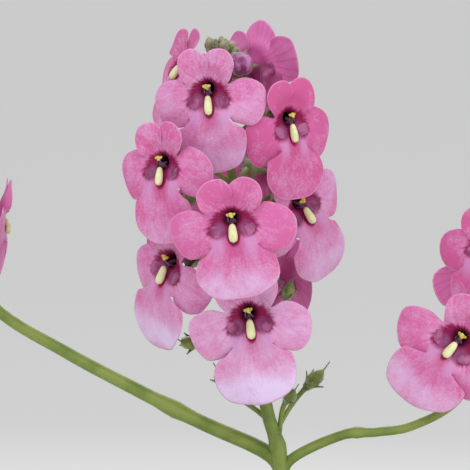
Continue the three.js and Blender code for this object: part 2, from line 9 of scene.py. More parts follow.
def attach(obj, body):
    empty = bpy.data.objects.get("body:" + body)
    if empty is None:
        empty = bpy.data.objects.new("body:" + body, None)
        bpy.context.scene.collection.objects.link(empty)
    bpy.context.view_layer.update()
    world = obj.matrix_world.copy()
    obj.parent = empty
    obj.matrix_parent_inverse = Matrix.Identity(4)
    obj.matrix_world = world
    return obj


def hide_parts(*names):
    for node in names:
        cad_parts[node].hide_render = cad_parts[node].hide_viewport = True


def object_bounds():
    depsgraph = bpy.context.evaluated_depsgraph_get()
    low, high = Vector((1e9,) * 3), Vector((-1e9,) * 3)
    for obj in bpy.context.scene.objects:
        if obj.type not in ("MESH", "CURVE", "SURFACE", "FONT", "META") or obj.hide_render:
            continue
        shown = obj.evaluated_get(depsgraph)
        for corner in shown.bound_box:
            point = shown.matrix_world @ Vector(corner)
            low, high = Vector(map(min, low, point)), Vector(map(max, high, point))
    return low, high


# A potted twinspur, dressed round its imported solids. Plant and pot are shaped in millimetres,
# in the solids' own frame, and finishPiece turns each mesh into metres at the end.

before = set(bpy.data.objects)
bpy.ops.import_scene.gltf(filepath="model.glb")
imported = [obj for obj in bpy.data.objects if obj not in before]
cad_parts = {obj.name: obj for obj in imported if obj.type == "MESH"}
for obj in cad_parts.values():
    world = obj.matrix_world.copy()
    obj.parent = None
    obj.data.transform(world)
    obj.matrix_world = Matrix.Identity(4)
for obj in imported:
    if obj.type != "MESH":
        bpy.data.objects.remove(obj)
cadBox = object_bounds()
mm = 0.001
upright = Vector((0, 0, 1))


# Small helpers for numbers

def lerp(a, b, share):
    return a + (b - a) * share


def smooth(low, high, value):
    share = min(max((value - low) / (high - low), 0), 1)
    return share * share * (3 - 2 * share)


def chance(seed):  # a repeatable number from 0 to 1
    wave = math.sin(seed * 12.9898 + 4.1414) * 43758.5453
    return wave - math.floor(wave)


def jitter(seed, size):
    return (chance(seed) * 2 - 1) * size


def heading(turn):  # level direction; 0 faces -Y and grows towards +X
    return Vector((math.sin(math.radians(turn)), -math.cos(math.radians(turn)), 0))


# A smooth path through points, run through from 0 to 1

def pathPoint(points, share):
    last = len(points) - 1
    at = min(max(share, 0), 1) * last
    k = min(int(at), last - 1)
    t = at - k
    p1, p2 = Vector(points[k]), Vector(points[k + 1])
    p0 = Vector(points[k - 1]) if k > 0 else 2 * p1 - p2
    p3 = Vector(points[k + 2]) if k + 2 <= last else 2 * p2 - p1
    t0, t1 = (p2 - p0) / 2, (p3 - p1) / 2
    return p1 + t0 * t + (3 * (p2 - p1) - 2 * t0 - t1) * t * t + (2 * (p1 - p2) + t0 + t1) * t ** 3


def pathRoot(points, height):  # where a rising path reaches a height
    low, high = 0, 1
    for _ in range(24):
        middle = (low + high) / 2
        if pathPoint(points, middle).z < height:
            low = middle
        else:
            high = middle
    return pathPoint(points, low)


# Small helpers for meshes

def deselectAll():
    for item in bpy.context.selected_objects:
        item.select_set(False)


def selectOnly(*items):
    deselectAll()
    for item in items:
        item.select_set(True)
    bpy.context.view_layer.objects.active = items[0]


def newest(name):
    made = bpy.context.object
    made.name = name
    made.data.name = name
    return made


def applyModifier(item, kind, **settings):
    selectOnly(item)
    bpy.ops.object.modifier_add(type=kind)
    modifier = item.modifiers[-1]
    for key, value in settings.items():
        setattr(modifier, key, value)
    bpy.ops.object.modifier_apply(modifier=modifier.name)


def joined(items, name):
    selectOnly(*items)
    if len(items) > 1:
        bpy.ops.object.join()
    return newest(name)


def copyOf(pattern, matrix):
    made = pattern.copy()
    made.data = pattern.data.copy()
    bpy.context.scene.collection.objects.link(made)
    made.data.transform(matrix)
    if matrix.determinant() < 0:
        made.data.flip_normals()
    return made


def turnOutward(item):
    selectOnly(item)
    bpy.ops.object.mode_set(mode="EDIT")
    bpy.ops.mesh.select_all(action="SELECT")
    bpy.ops.mesh.normals_make_consistent(inside=False)
    bpy.ops.object.mode_set(mode="OBJECT")


def paint(item, *materials):
    item.data.materials.clear()
    for material in materials:
        item.data.materials.append(material)


def writeVectors(item, name, vectors):
    layer = item.data.attributes.get(name) or item.data.attributes.new(name, "FLOAT_VECTOR", "POINT")
    layer.data.foreach_set("vector", [number for vector in vectors for number in vector])


def tubes(name, lines, sides=5):
    # lines holds (points, radii) pairs, and all of them become one mesh with closed ends
    bpy.ops.curve.primitive_nurbs_path_add()
    line = newest(name)
    curve = line.data
    curve.splines.clear()
    for points, radii in lines:
        spline = curve.splines.new("POLY")
        spline.points.add(len(points) - 1)
        for knot, point, radius in zip(spline.points, points, radii):
            knot.co = (*point, 1)
            knot.radius = radius
        spline.use_smooth = True
    curve.bevel_depth = 1
    curve.bevel_resolution = max(sides // 2 - 2, 0)
    curve.use_fill_caps = True
    selectOnly(line)
    bpy.ops.object.convert(target="MESH")
    return newest(name)


def finishPiece(item, slotName, *nodes):
    item.data.transform(Matrix.Scale(mm, 4))
    low, high = cadBox
    for corner in item.data.vertices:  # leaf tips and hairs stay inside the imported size
        corner.co = [min(max(value, low[k]), high[k]) for k, value in enumerate(corner.co)]
    selectOnly(item)
    bpy.ops.object.shade_smooth()
    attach(item, "root")
    if nodes:
        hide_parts(*nodes)
    return item


# Small helpers for materials

def srgb(*levels):  # a screen colour, each level from 0 to 255, in the linear values that Blender takes
    shares = [level / 255 for level in levels]
    return (*(((c + 0.055) / 1.055) ** 2.4 if c > 0.04 else c / 12.92 for c in shares), 1)


def addNode(tree, kind, inputs=None, **settings):
    node = tree.nodes.new(kind)
    for key, value in settings.items():
        setattr(node, key, value)
    for key, value in (inputs or {}).items():
        if isinstance(value, bpy.types.NodeSocket):
            tree.links.new(value, node.inputs[key])
        else:
            node.inputs[key].default_value = value
    return node


def calc(tree, operation, *values):
    return addNode(tree, "ShaderNodeMath", dict(enumerate(values)), operation=operation).outputs[0]


def times(tree, first, second):
    return calc(tree, "MULTIPLY", first, second)


def plus(tree, first, *others):
    for other in others:
        first = calc(tree, "ADD", first, other)
    return first


def scaled(tree, value, factor, shift):
    return calc(tree, "MULTIPLY_ADD", value, factor, shift)


def band(tree, value, low, high):  # 0 at low, 1 at high, smooth between
    inputs = {"Value": value, "From Min": low, "From Max": high}
    return addNode(tree, "ShaderNodeMapRange", inputs, interpolation_type="SMOOTHSTEP").outputs["Result"]


def mixColours(tree, share, first, second):
    return addNode(tree, "ShaderNodeMix", {0: share, 6: first, 7: second}, data_type="RGBA").outputs[2]


def tint(tree, colour, other, share, most=1):  # lays another colour over part of the surface
    return mixColours(tree, times(tree, share, most) if most < 1 else share, colour, other)


def noise(tree, vector, scale, detail=3, roughness=0.5):
    inputs = {"Vector": vector, "Scale": scale, "Detail": detail, "Roughness": roughness}
    return addNode(tree, "ShaderNodeTexNoise", inputs).outputs["Fac"]


def axes(tree, vector):
    return addNode(tree, "ShaderNodeSeparateXYZ", {"Vector": vector}).outputs


def attribute(tree, name):
    return addNode(tree, "ShaderNodeAttribute", attribute_name=name).outputs["Vector"]


def objectPlace(tree):
    return addNode(tree, "ShaderNodeTexCoord").outputs["Object"]


def oval(tree, x, y, centre, radii):  # 1 on the oval's edge, 0 at its centre
    across = calc(tree, "DIVIDE", calc(tree, "SUBTRACT", x, centre[0]), radii[0])
    along = calc(tree, "DIVIDE", calc(tree, "SUBTRACT", y, centre[1]), radii[1])
    return calc(tree, "SQRT", plus(tree, times(tree, across, across), times(tree, along, along)))


def newMaterial(name, **shader):
    material = bpy.data.materials.new(name)
    material.use_nodes = True
    for key, value in shader.items():
        material.node_tree.nodes["Principled BSDF"].inputs[key.replace("_", " ")].default_value = value
    return material, material.node_tree


def finishMaterial(material, colour, height, strength, distance):  # colour and relief into the shader
    tree = material.node_tree
    shader = tree.nodes["Principled BSDF"]
    bump = addNode(tree, "ShaderNodeBump", {"Height": height, "Strength": strength, "Distance": distance})
    tree.links.new(colour, shader.inputs["Base Color"])
    tree.links.new(bump.outputs["Normal"], shader.inputs["Normal"])
    return material


def newGroup(name, inputs, outputs):  # an input with no value of its own takes a vector
    group = bpy.data.node_groups.new(name, "ShaderNodeTree")
    for key, value in inputs.items():
        kind = "NodeSocketVector" if value is None else "NodeSocketFloat"
        socket = group.interface.new_socket(key, in_out="INPUT", socket_type=kind)
        if value is not None:
            socket.default_value = value
    for key in outputs:
        group.interface.new_socket(key, in_out="OUTPUT", socket_type="NodeSocketFloat")
    return group, group.nodes.new("NodeGroupInput").outputs, group.nodes.new("NodeGroupOutput").inputs


def useGroup(tree, group, inputs):
    return addNode(tree, "ShaderNodeGroup", inputs, node_tree=group).outputs


# Skin: soft blotches and a fine pebbled height, shared by every living surface

def makeSkinGroup():
    inputs = {"Vector": None, "Blotch Scale": 120, "Grain Scale": 4000}
    group, given, out = newGroup("livingSkin", inputs, ("Blotch", "Height"))
    place, grain = given["Vector"], given["Grain Scale"]
    cells = addNode(group, "ShaderNodeTexVoronoi", {"Vector": place, "Scale": grain}).outputs["Distance"]
    height = plus(group, times(group, cells, 0.6), times(group, noise(group, place, grain, 2), 0.5))
    group.links.new(noise(group, place, given["Blotch Scale"]), out["Blotch"])
    group.links.new(height, out["Height"])
    return group


# Veins that fan out from the throat of a bloom, from its own plan in millimetres

def makeFanGroup():
    group, given, out = newGroup("petalVeins", {"Plan": None, "Lines": 44}, ("Vein", "Reach", "Streak"))
    x, y, _ = axes(group, given["Plan"])
    reach = calc(group, "SQRT", plus(group, times(group, x, x), times(group, y, y)))
    sway = times(group, noise(group, given["Plan"], 0.45, 2), 3.2)
    turns = times(group, calc(group, "ARCTAN2", y, x), given["Lines"])
    wave = scaled(group, calc(group, "SINE", plus(group, turns, sway)), 0.5, 0.5)
    near = calc(group, "MAXIMUM", reach, 0.5)
    ray = {key: times(group, calc(group, "DIVIDE", way, near), 9) for key, way in (("X", x), ("Y", y))}
    ray["Z"] = times(group, reach, 0.45)
    streak = noise(group, addNode(group, "ShaderNodeCombineXYZ", ray).outputs[0], 1, 4, 0.6)
    group.links.new(calc(group, "POWER", wave, 5), out["Vein"])
    group.links.new(reach, out["Reach"])
    group.links.new(streak, out["Streak"])
    return group


skinGroup = makeSkinGroup()
fanGroup = makeFanGroup()


def livingSkin(tree, blotchScale, grainScale):
    inputs = {"Vector": objectPlace(tree), "Blotch Scale": blotchScale, "Grain Scale": grainScale}
    return useGroup(tree, skinGroup, inputs)


# Petals: sizes are in the bloom's own plan, in millimetres

petalColours = {
    "deep": srgb(202, 78, 140),
    "mid": srgb(212, 110, 170),
    "pale": srgb(226, 202, 240),
    "shade": srgb(200, 82, 138),
    "maroon": srgb(138, 0, 72),
    # painted shade darkening the throat round its middle
    "dark": srgb(70, 0, 36),
    # near-black painted shade deep in the tube
    "hole": srgb(24, 6, 14),
    "window": srgb(144, 94, 142),
    "neck": srgb(204, 144, 196),
    # the colour of the painted shade below the club
    "rosyShade": srgb(182, 70, 126),
    "vein": srgb(190, 78, 138),
    # painted highlight along the lobes' edges
    "rim": srgb(238, 178, 216),
    "back": srgb(238, 138, 206),
    "tube": srgb(184, 76, 140),
}
petalZones = {  # where tints lie on the face, in mm up or to the side, each pair from none to full
    # lip: the lower third of the lip, painted paler, partly the bloom's own tone and partly painted light
    # where the lip turns up to the light
    "lip": {"up": ((-7.5, -12), (-16.5, -13))},
    # low, top and neck: where painted shade darkens the face, low and far out on the sides, on the upper
    # lobes near the throat and on the top of the lip
    "low": {"up": ((-2.5, -7),), "side": ((4, 6),)},
    "top": {"up": ((0.8, 2.5), (7.2, 3.6))},
    "neck": {"up": ((-3.6, -4.6), (-10.5, -6.5)), "side": ((4.8, 3.4),)},
    "neckEdges": {"up": ((-3, -3.9), (-8.5, -4.5)), "side": ((0.9, 2.2), (4.4, 3.2))},
    # painted shade below the club's lower end
    "underClub": {"up": ((-3, -3.9), (-8.5, -4.5)), "side": ((2.2, 0.4),)},
}
petalCover = {  # how strongly each tint covers the colour below it
    "face": {"shade": 0.45, "vein": 0.12, "rim": 0.4, "neck": 0.75, "rosyShade": 0.6, "dark": 0.75},
    "back": {"mid": 0.6, "vein": 0.22, "rim": 0.4},
}
stainForm = {
    "arch": {"centre": (0, -2), "radii": (4.2, 3.8)},
    "foot": (-3.85, -2.65),  # the stain fades out between these, at the pale neck of the lip
    # painted shadow of the club, in the stain's maroon, round the club and below its lower end
    "underClub": {"centre": (0, -2.9), "radii": (1.15, 2)},
    "window": {"centre": (2.2, -2.1), "radii": (1.05, 1.3)},
    "shadow": {"centre": (0, -0.1), "radii": (1.9, 1.5)},
}
petalSkin = {"Roughness": 0.5, "Sheen_Weight": 0.07, "Sheen_Roughness": 0.4, "Specular_IOR_Level": 0.24}


def petalZone(tree, at, name):
    _, y, side, _ = at
    share = 1
    for key, way in (("up", y), ("side", side)):
        for ends in petalZones[name].get(key, ()):
            share = times(tree, share, band(tree, way, *ends))
    return share


def petalGround(tree, at, fan, skin):  # painted shade low on the side lobes, on the upper lobes near the throat and on the top of the lip; paler on the lower third of the lip, partly the bloom's own tone and partly painted light where the lip turns up to the light
    c, cover, rim = petalColours, petalCover["face"], at[3]
    pale, lipPale, deepness = axes(tree, attribute(tree, "tone"))
    lip, low, top, neck = (petalZone(tree, at, name) for name in ("lip", "low", "top", "neck"))
    blotch = scaled(tree, band(tree, skin["Blotch"], 0.3, 0.7), 0.26, -0.12)
    # fine lighter and darker dots: painted satin sparkle
    paintedSparkle = scaled(tree, noise(tree, objectPlace(tree), 3200, 2), 0.6, -0.3)
    streaks = scaled(tree, fan["Streak"], 0.7, -0.35)
    # the lip's lower third paler, partly painted light
    lightness = plus(tree, pale, times(tree, lip, lipPale), blotch, paintedSparkle, streaks)
    lightness = addNode(tree, "ShaderNodeClamp", {"Value": lightness}).outputs[0]
    # painted shade, rosier and darker, low and far out on the sides, on the upper lobes near the throat and
    # on the top of the lip
    rosyShade = calc(tree, "MAXIMUM", low, calc(tree, "MAXIMUM", top, neck))
    veins = times(tree, fan["Vein"], band(tree, rim, 1, 0.2))
    colour = mixColours(tree, deepness, c["mid"], c["deep"])
    colour = tint(tree, colour, c["shade"], rosyShade, cover["shade"])
    colour = tint(tree, colour, c["pale"], lightness)
    colour = tint(tree, colour, c["vein"], veins, cover["vein"])
    # painted highlight along the lobes' edges
    return tint(tree, colour, c["rim"], band(tree, rim, 0.96, 1), cover["rim"])


def petalNeck(tree, at, colour):  # the neck of the lip: lilac at both sides, and a rosier painted shade below the club
    c, cover = petalColours, petalCover["face"]
    colour = tint(tree, colour, c["neck"], petalZone(tree, at, "neckEdges"), cover["neck"])
    return tint(tree, colour, c["rosyShade"], petalZone(tree, at, "underClub"), cover["rosyShade"])


def petalStain(tree, at, colour, plan, fan):  # round the throat, with two dusky windows, a painted shadow round and below the club, painted shade darkening the throat and near-black painted shade deep in the tube
    x, y, side, rim = at
    c, form = petalColours, stainForm
    wobble = scaled(tree, noise(tree, plan, 1.1), 0.3, -0.15)
    streaks = scaled(tree, fan["Streak"], 0.6, plus(tree, wobble, -0.3))
    arch = band(tree, plus(tree, oval(tree, x, y, **form["arch"]), streaks), 1.16, 0.84)
    arch = times(tree, arch, band(tree, plus(tree, y, times(tree, streaks, 1.6)), *form["foot"]))
    # painted shadow of the club, round it and below its lower end
    clubShadow = band(tree, oval(tree, x, y, **form["underClub"]), 1.12, 0.85)
    colour = tint(tree, colour, c["maroon"], calc(tree, "MAXIMUM", arch, clubShadow))
    # painted shade darkening the throat round its middle
    inner = plus(tree, oval(tree, x, y, **form["shadow"]), streaks)
    colour = tint(tree, colour, c["dark"], band(tree, inner, 1.1, 0.55), petalCover["face"]["dark"])
    window = plus(tree, oval(tree, side, y, **form["window"]), times(tree, wobble, 0.7))
    lines = scaled(tree, band(tree, fan["Streak"], 0.62, 0.4), 0.45, 0.35)
    colour = tint(tree, colour, c["window"], times(tree, band(tree, window, 1.45, 0.4), lines))
    # near-black painted shade deep in the tube
    return tint(tree, colour, c["hole"], band(tree, rim, -0.5, -0.8))


def makePetalFace():
    material, tree = newMaterial("petalFace", **petalSkin)
    plan = attribute(tree, "plan")
    x, y, rim = axes(tree, plan)
    at = (x, y, calc(tree, "ABSOLUTE", x), rim)
    fan = useGroup(tree, fanGroup, {"Plan": plan, "Lines": 52})
    skin = livingSkin(tree, 240, 5200)
    colour = petalNeck(tree, at, petalGround(tree, at, fan, skin))
    colour = petalStain(tree, at, colour, plan, fan)
    height = plus(tree, times(tree, skin["Height"], 0.6), times(tree, fan["Streak"], 1.4))
    return finishMaterial(material, colour, height, 0.4, 0.0001)


def makePetalBack():
    material, tree = newMaterial("petalBack", **petalSkin)
    plan = attribute(tree, "plan")
    rim = axes(tree, plan)[2]
    deepness = axes(tree, attribute(tree, "tone"))[2]
    fan = useGroup(tree, fanGroup, {"Plan": plan, "Lines": 34})
    skin = livingSkin(tree, 300, 5200)
    c, cover = petalColours, petalCover["back"]
    colour = mixColours(tree, deepness, c["back"], c["deep"])
    colour = tint(tree, colour, c["mid"], band(tree, skin["Blotch"], 0.3, 0.75), cover["mid"])
    colour = tint(tree, colour, c["vein"], fan["Vein"], cover["vein"])
    colour = tint(tree, colour, c["tube"], band(tree, fan["Reach"], 4.6, 2.2))
    # painted highlight along the lobes' edges
    colour = tint(tree, colour, c["rim"], band(tree, rim, 0.96, 1), cover["rim"])
    height = plus(tree, times(tree, skin["Height"], 0.5), times(tree, fan["Vein"], 0.8))
    return finishMaterial(material, colour, height, 0.35, 0.00012)


# Leaf: a mottled blade with a pale rib and side veins that reach the teeth

leafColours = {"dark": srgb(62, 104, 40), "light": srgb(92, 138, 58), "vein": srgb(150, 180, 104)}
leafVeins = {"pairs": 7, "slant": 1.3}


def makeLeafMaterial():
    material, tree = newMaterial("leafBlade", Roughness=0.46, Subsurface_Weight=0.08, Subsurface_Scale=0.001)
    across, along, _ = axes(tree, attribute(tree, "blade"))
    side = calc(tree, "ABSOLUTE", across)
    skin = livingSkin(tree, 180, 2600)
    slant = times(tree, side, leafVeins["slant"])
    steps = calc(tree, "FRACT", calc(tree, "SUBTRACT", times(tree, along, leafVeins["pairs"]), slant))
    veins = band(tree, calc(tree, "ABSOLUTE", plus(tree, steps, -0.5)), 0.1, 0.02)
    veins = times(tree, veins, band(tree, side, 1, 0.6))
    lines = calc(tree, "MAXIMUM", band(tree, side, 0.09, 0.03), times(tree, veins, 0.6))
    c = leafColours
    colour = mixColours(tree, band(tree, skin["Blotch"], 0.35, 0.68), c["dark"], c["light"])
    colour = tint(tree, colour, c["vein"], lines, 0.55)
    relief = calc(tree, "SUBTRACT", times(tree, skin["Height"], 0.35), lines)
    return finishMaterial(material, colour, relief, 0.5, 0.0003)


# Clay: two warm tones, chalky salt low down, dark specks and the faint rings of turning

clayColours = {
    "dark": srgb(176, 98, 66),
    "light": srgb(198, 122, 86),
    "salt": srgb(216, 196, 178),
    "speck": srgb(140, 72, 48),
}


def makeClay():
    material, tree = newMaterial("clay", Roughness=0.86)
    place, c = objectPlace(tree), clayColours
    height = axes(tree, place)[2]
    cloud = noise(tree, place, 28, 5, 0.6)
    fine = noise(tree, place, 900, 4, 0.6)
    salt = times(tree, band(tree, noise(tree, place, 46, 6, 0.65), 0.53, 0.7), band(tree, height, 0.1, 0.02))
    colour = mixColours(tree, band(tree, cloud, 0.36, 0.66), c["dark"], c["light"])
    colour = tint(tree, colour, c["salt"], salt, 0.5)
    colour = tint(tree, colour, c["speck"], band(tree, fine, 0.6, 0.75), 0.25)
    rings = calc(tree, "SINE", scaled(tree, height, 3600, times(tree, cloud, 5)))
    return finishMaterial(material, colour, plus(tree, times(tree, rings, 0.25), fine), 0.4, 0.0004)


compostColours = {"dark": srgb(34, 24, 18), "light": srgb(82, 62, 46), "fleck": srgb(128, 104, 80)}


def makeCompost():
    material, tree = newMaterial("compost", Roughness=0.95)
    place, c = objectPlace(tree), compostColours
    crumbs = noise(tree, place, 420, 6, 0.7)
    colour = mixColours(tree, band(tree, crumbs, 0.34, 0.66), c["dark"], c["light"])
    colour = tint(tree, colour, c["fleck"], band(tree, noise(tree, place, 1500, 2), 0.66, 0.75))
    return finishMaterial(material, colour, crumbs, 0.9, 0.0012)


# The other skins: two colours, the scales of blotch and grain, what the shader needs, and the relief

livingSkins = {
    "spur": ((124, 26, 88), (176, 92, 142), 520, 4200, {"Roughness": 0.5, "Sheen_Weight": 0.2}),
    "club": ((216, 220, 156), (230, 233, 186), 900, 5200, {"Roughness": 0.5, "Subsurface_Weight": 0.15}),
    "anther": ((180, 156, 48), (222, 208, 104), 2400, 9000, {"Roughness": 0.6}),
    "filament": ((84, 44, 74), (132, 96, 126), 2400, 9000, {"Roughness": 0.5}),
    "stem": ((98, 122, 40), (132, 150, 66), 160, 3000, {"Roughness": 0.48, "Subsurface_Weight": 0.08}),
    "calyx": ((86, 108, 48), (128, 142, 84), 420, 4200, {"Roughness": 0.55, "Sheen_Weight": 0.3}),
    "pod": ((92, 112, 40), (134, 150, 72), 420, 3600, {"Roughness": 0.42, "Sheen_Weight": 0.2}),
    "bud": ((126, 32, 100), (190, 116, 176), 620, 4200, {"Roughness": 0.5, "Sheen_Weight": 0.3}),
    "tipBud": ((120, 118, 80), (160, 160, 118), 600, 4200, {"Roughness": 0.6, "Sheen_Weight": 0.4}),
    "hair": ((206, 210, 186), (228, 226, 214), 900, 9000, {"Roughness": 0.4, "Sheen_Weight": 0.3}),
    "leafUnder": ((96, 132, 72), (124, 156, 98), 200, 2600, {"Roughness": 0.6, "Sheen_Weight": 0.2}),
    "perlite": ((206, 202, 192), (232, 230, 224), 700, 2600, {"Roughness": 0.9}, 0.6),
    "bark": ((58, 38, 26), (96, 66, 44), 300, 1800, {"Roughness": 0.9}, 0.8),
}


def makeLivingMaterial(name, dark, light, blotchScale, grainScale, shader, relief=0.3):
    material, tree = newMaterial(name, Subsurface_Scale=0.001, **shader)
    skin = livingSkin(tree, blotchScale, grainScale)
    colour = mixColours(tree, band(tree, skin["Blotch"], 0.36, 0.64), srgb(*dark), srgb(*light))
    return finishMaterial(material, colour, skin["Height"], relief, 0.00012)


materials = {name: makeLivingMaterial(name, *skin) for name, skin in livingSkins.items()}
materials["face"] = makePetalFace()
materials["back"] = makePetalBack()
materials["leaf"] = makeLeafMaterial()
materials["clay"] = makeClay()
materials["soil"] = makeCompost()
print("materials ready:", len(materials))


# Where each bloom stands: middle of its throat, turns in degrees, size, how far its sides are drawn in,
# how far its side lobes droop, how pale it is, and what bends its lobes

# a paler lip is partly the bloom's own tone and partly painted light, on lips that turn up to the light
bloomPlaces = {
    "crown": {
        "at": (-4.6, -17.6, 277), "turn": (-9, -6, 3), "size": 1.02, "wide": 0.86, "droop": 20,
        "pale": 0.24, "lipPale": 0.34,
    },
    "crown_right": {
        "at": (9.5, -13.9, 272.1), "turn": (26, -2, 7), "size": 1, "wide": 0.8, "droop": 28,
        "pale": 0, "lipPale": 0.14, "deep": 0.6,
    },
    "middle": {
        "at": (-0.6, -24.5, 256.1), "turn": (-2, 0, 6), "size": 0.98, "droop": 18,
        "pale": 0.04, "lipPale": 0.5,
    },
    "left": {
        "at": (-12.5, -17.2, 265), "turn": (-28, 4, 3), "size": 0.98, "wide": 0.82, "droop": 16,
        "pale": 0.1, "lipPale": 0.14, "deep": 0.25, "fold": 0.5, "foldAt": 3.2,
    },
    "right": {
        "at": (11.6, -3, 257), "turn": (38, -4, 32), "size": 1.02, "wide": 0.9, "droop": 20, "lip": 1.1,
        "pale": 0.24, "lipPale": 0.3, "fold": 0.6, "foldAt": -3,
    },
    "low_left": {
        "at": (-11.7, -9, 247.6), "turn": (-44, 0, -17), "size": 1.04, "wide": 0.86, "droop": 28, "lip": 1.1,
        "pale": 0.22, "lipPale": 0.6, "fold": -0.6, "foldAt": 2.8,
    },
    "low": {
        "at": (2.3, -15, 239.2), "turn": (0, 0, 7), "size": 1.06, "wide": 0.94, "droop": 25, "lip": 1.08,
        "pale": 0.4, "lipPale": 0.62, "fold": 0.55, "foldAt": 0,
    },
    "crown_left": {
        "at": (-9.3, -1.4, 281.3), "turn": (-62, 24, 2), "size": 0.86, "droop": 14,
        "pale": 0.06, "lipPale": 0.3, "deep": 0.4,
    },
    "crown_back": {
        "at": (3.7, 0.8, 280.8), "turn": (142, 6, -23), "size": 1.02, "droop": 14,
        "pale": 0.1, "lipPale": 0.2, "deep": 0.15,
    },
    "back_left": {"at": (-12.4, 7, 257.6), "turn": (-122, 0, 6), "size": 0.94, "droop": 16},
    "back": {"at": (4.5, 12.5, 262.4), "turn": (160, 2, -4), "size": 0.94, "droop": 16},
    "back_low": {"at": (9.2, 13, 243.2), "turn": (128, 0, 4), "size": 0.98, "droop": 18},
}
fineBlooms = {*bloomPlaces, "right_first"} - {"back_left", "back", "back_low"}


# Stems: paths, radii at both ends, where leaves and flowers stand as shares of the path

def fromSoil(foot, *bends):  # a path that first stands straight up through the soil
    return [(*foot, 86), (*foot, 100), *bends]


mainStem = {
    "path": fromSoil(
        (2, 0), (3, 2, 130), (8, 3, 170), (8.6, 1, 198), (7.8, 0, 212.2), (5.6, 0, 220.4), (3.9, 0, 231.5),
        (2.2, 0, 243.4), (0.2, 0, 257.1), (-1.9, 0, 270.8), (-3, -1, 283),
    ),
    "radius": (1.7, 0.7),
    "leaves": {"from": 0.115, "to": 0.375, "pairs": 6, "size": (1.15, 0.85)},
    "turn": 20,
    "fork": 0.47,
    "hairs": 9000,
    "bald": 0.5,  # no hairs below this share of its height
}
branchPlans = {
    "left": {
        "path": [
            (8.4, 1, 205.5), (6.6, 1.4, 211.9), (-6, 4, 217.6), (-18, 6, 223.4), (-30, 8, 229.5),
            (-43, 10, 237.4), (-52, 11, 250), (-56.5, 11, 263), (-58.5, 10.5, 276),
        ],
        "radius": (1.5, 0.7),
        "spike": {"from": 0.66, "to": 0.94, "blooms": 4, "yaw": -40, "seed": 31},
    },
    "right": {
        "path": [
            (8.6, 0.6, 206), (9.6, 0.2, 211.4), (18.7, -1, 216.1), (24.7, -2, 216.8), (31, -2.5, 218),
            (38.5, -3, 222.5), (43.5, -3, 232), (46.5, -3, 244), (47.5, -3, 257),
        ],
        "radius": (0.95, 0.6),
        "spike": {"from": 0.76, "to": 0.95, "blooms": 3, "yaw": 60, "seed": 47},
    },
}
branchKnot = 0.3
edgeBloom = {
    "at": (38.2, -13.5, 234.8), "turn": (-10, 2, -40), "size": 1.02, "droop": 32, "root": 224,
    "pale": 0.14, "lipPale": 0.4,
}

sideForms = {
    "stem": {
        "radius": (1.35, 0.65),
        "leaves": {"from": 0.2, "to": 0.62, "pairs": 4, "size": (1.15, 0.85)},
        "hairs": 1800,
        "bald": 0.3,
    },
    "shoot": {
        "radius": (1.1, 0.5),
        "leaves": {"from": 0.3, "to": 0.97, "pairs": 4, "size": (1.15, 0.7)},
        "hairs": 900,
        "bald": 0.2,
    },
}
sideStems = {
    "front_left": {
        "path": fromSoil((-14, -14), (-24, -26, 131), (-35, -40, 162), (-42, -49, 186), (-44, -53, 203)),
        "spike": {"from": 0.66, "to": 0.95, "blooms": 4, "yaw": -20, "seed": 3},
        "turn": 10,
    },
    "front_right": {
        "path": fromSoil((15, -12), (28, -23, 127), (42, -36, 152), (51, -44, 174), (54, -47, 191)),
        "spike": {"from": 0.66, "to": 0.95, "blooms": 4, "yaw": 35, "seed": 7},
        "turn": 40,
    },
    "back_right": {
        "path": fromSoil((15, 13), (29, 25, 131), (45, 37, 161), (57, 43, 187), (61, 45, 204)),
        "spike": {"from": 0.67, "to": 0.95, "blooms": 4, "yaw": 95, "seed": 11},
        "turn": 24,
    },
    "back_left": {
        "path": fromSoil((-14, 15), (-30, 29, 130), (-47, 41, 158), (-59, 49, 181), (-63, 51, 197)),
        "spike": {"from": 0.67, "to": 0.95, "blooms": 3, "yaw": -150, "seed": 17},
        "turn": 55,
    },
    "back": {
        "path": fromSoil((-1, 21), (-2, 36, 127), (-4, 53, 152), (-5, 63, 172), (-5, 66, 187)),
        "spike": {"from": 0.66, "to": 0.94, "blooms": 3, "yaw": 160, "seed": 23},
        "turn": 30,
    },
    "front": {
        "path": fromSoil((-1, -22), (-3, -38, 116), (-6, -56, 130), (-8, -68, 144), (-8.5, -72, 159)),
        "spike": {"from": 0.64, "to": 0.94, "blooms": 3, "yaw": 10, "seed": 29},
        "turn": 75,
    },
}
shootPlans = {
    "left": {"path": fromSoil((-24, 0), (-38, -3, 118), (-54, -6, 134), (-66, -8, 152)), "turn": 5},
    "right": {"path": fromSoil((26, -1), (41, -2, 117), (57, -3, 132), (69, -3, 149)), "turn": 60},
    "inner_left": {"path": fromSoil((-8, 6), (-14, 10, 128), (-19, 14, 156), (-22, 16, 180)), "turn": 30},
    "inner_right": {"path": fromSoil((8, -8), (14, -12, 126), (18, -16, 150), (21, -18, 172)), "turn": 80},
}
spikeForm = {
    "golden": 137.5,
    "size": (1, 0.86),
    "reach": 12.4,
    "rise": 2.5,
    "drop": 5.5,  # how far below a bloom its stalk leaves the stem
    "pitch": 4,
    "jitter": 7,
    "droop": (19, 6),
    "pale": (0.25, 0),
    "lipPale": (0.5, 0.2),
    "deep": (0, 0.6),
}


def placeMatrix(place):  # a bloom's own x right, y up and z out of its face
    yaw, pitch, roll = (math.radians(angle) for angle in place["turn"])
    tipped = Matrix.Rotation(yaw, 4, "Z") @ Matrix.Rotation(math.pi / 2 - pitch, 4, "X")
    return Matrix.Translation(place["at"]) @ tipped @ Matrix.Rotation(roll, 4, "Z")


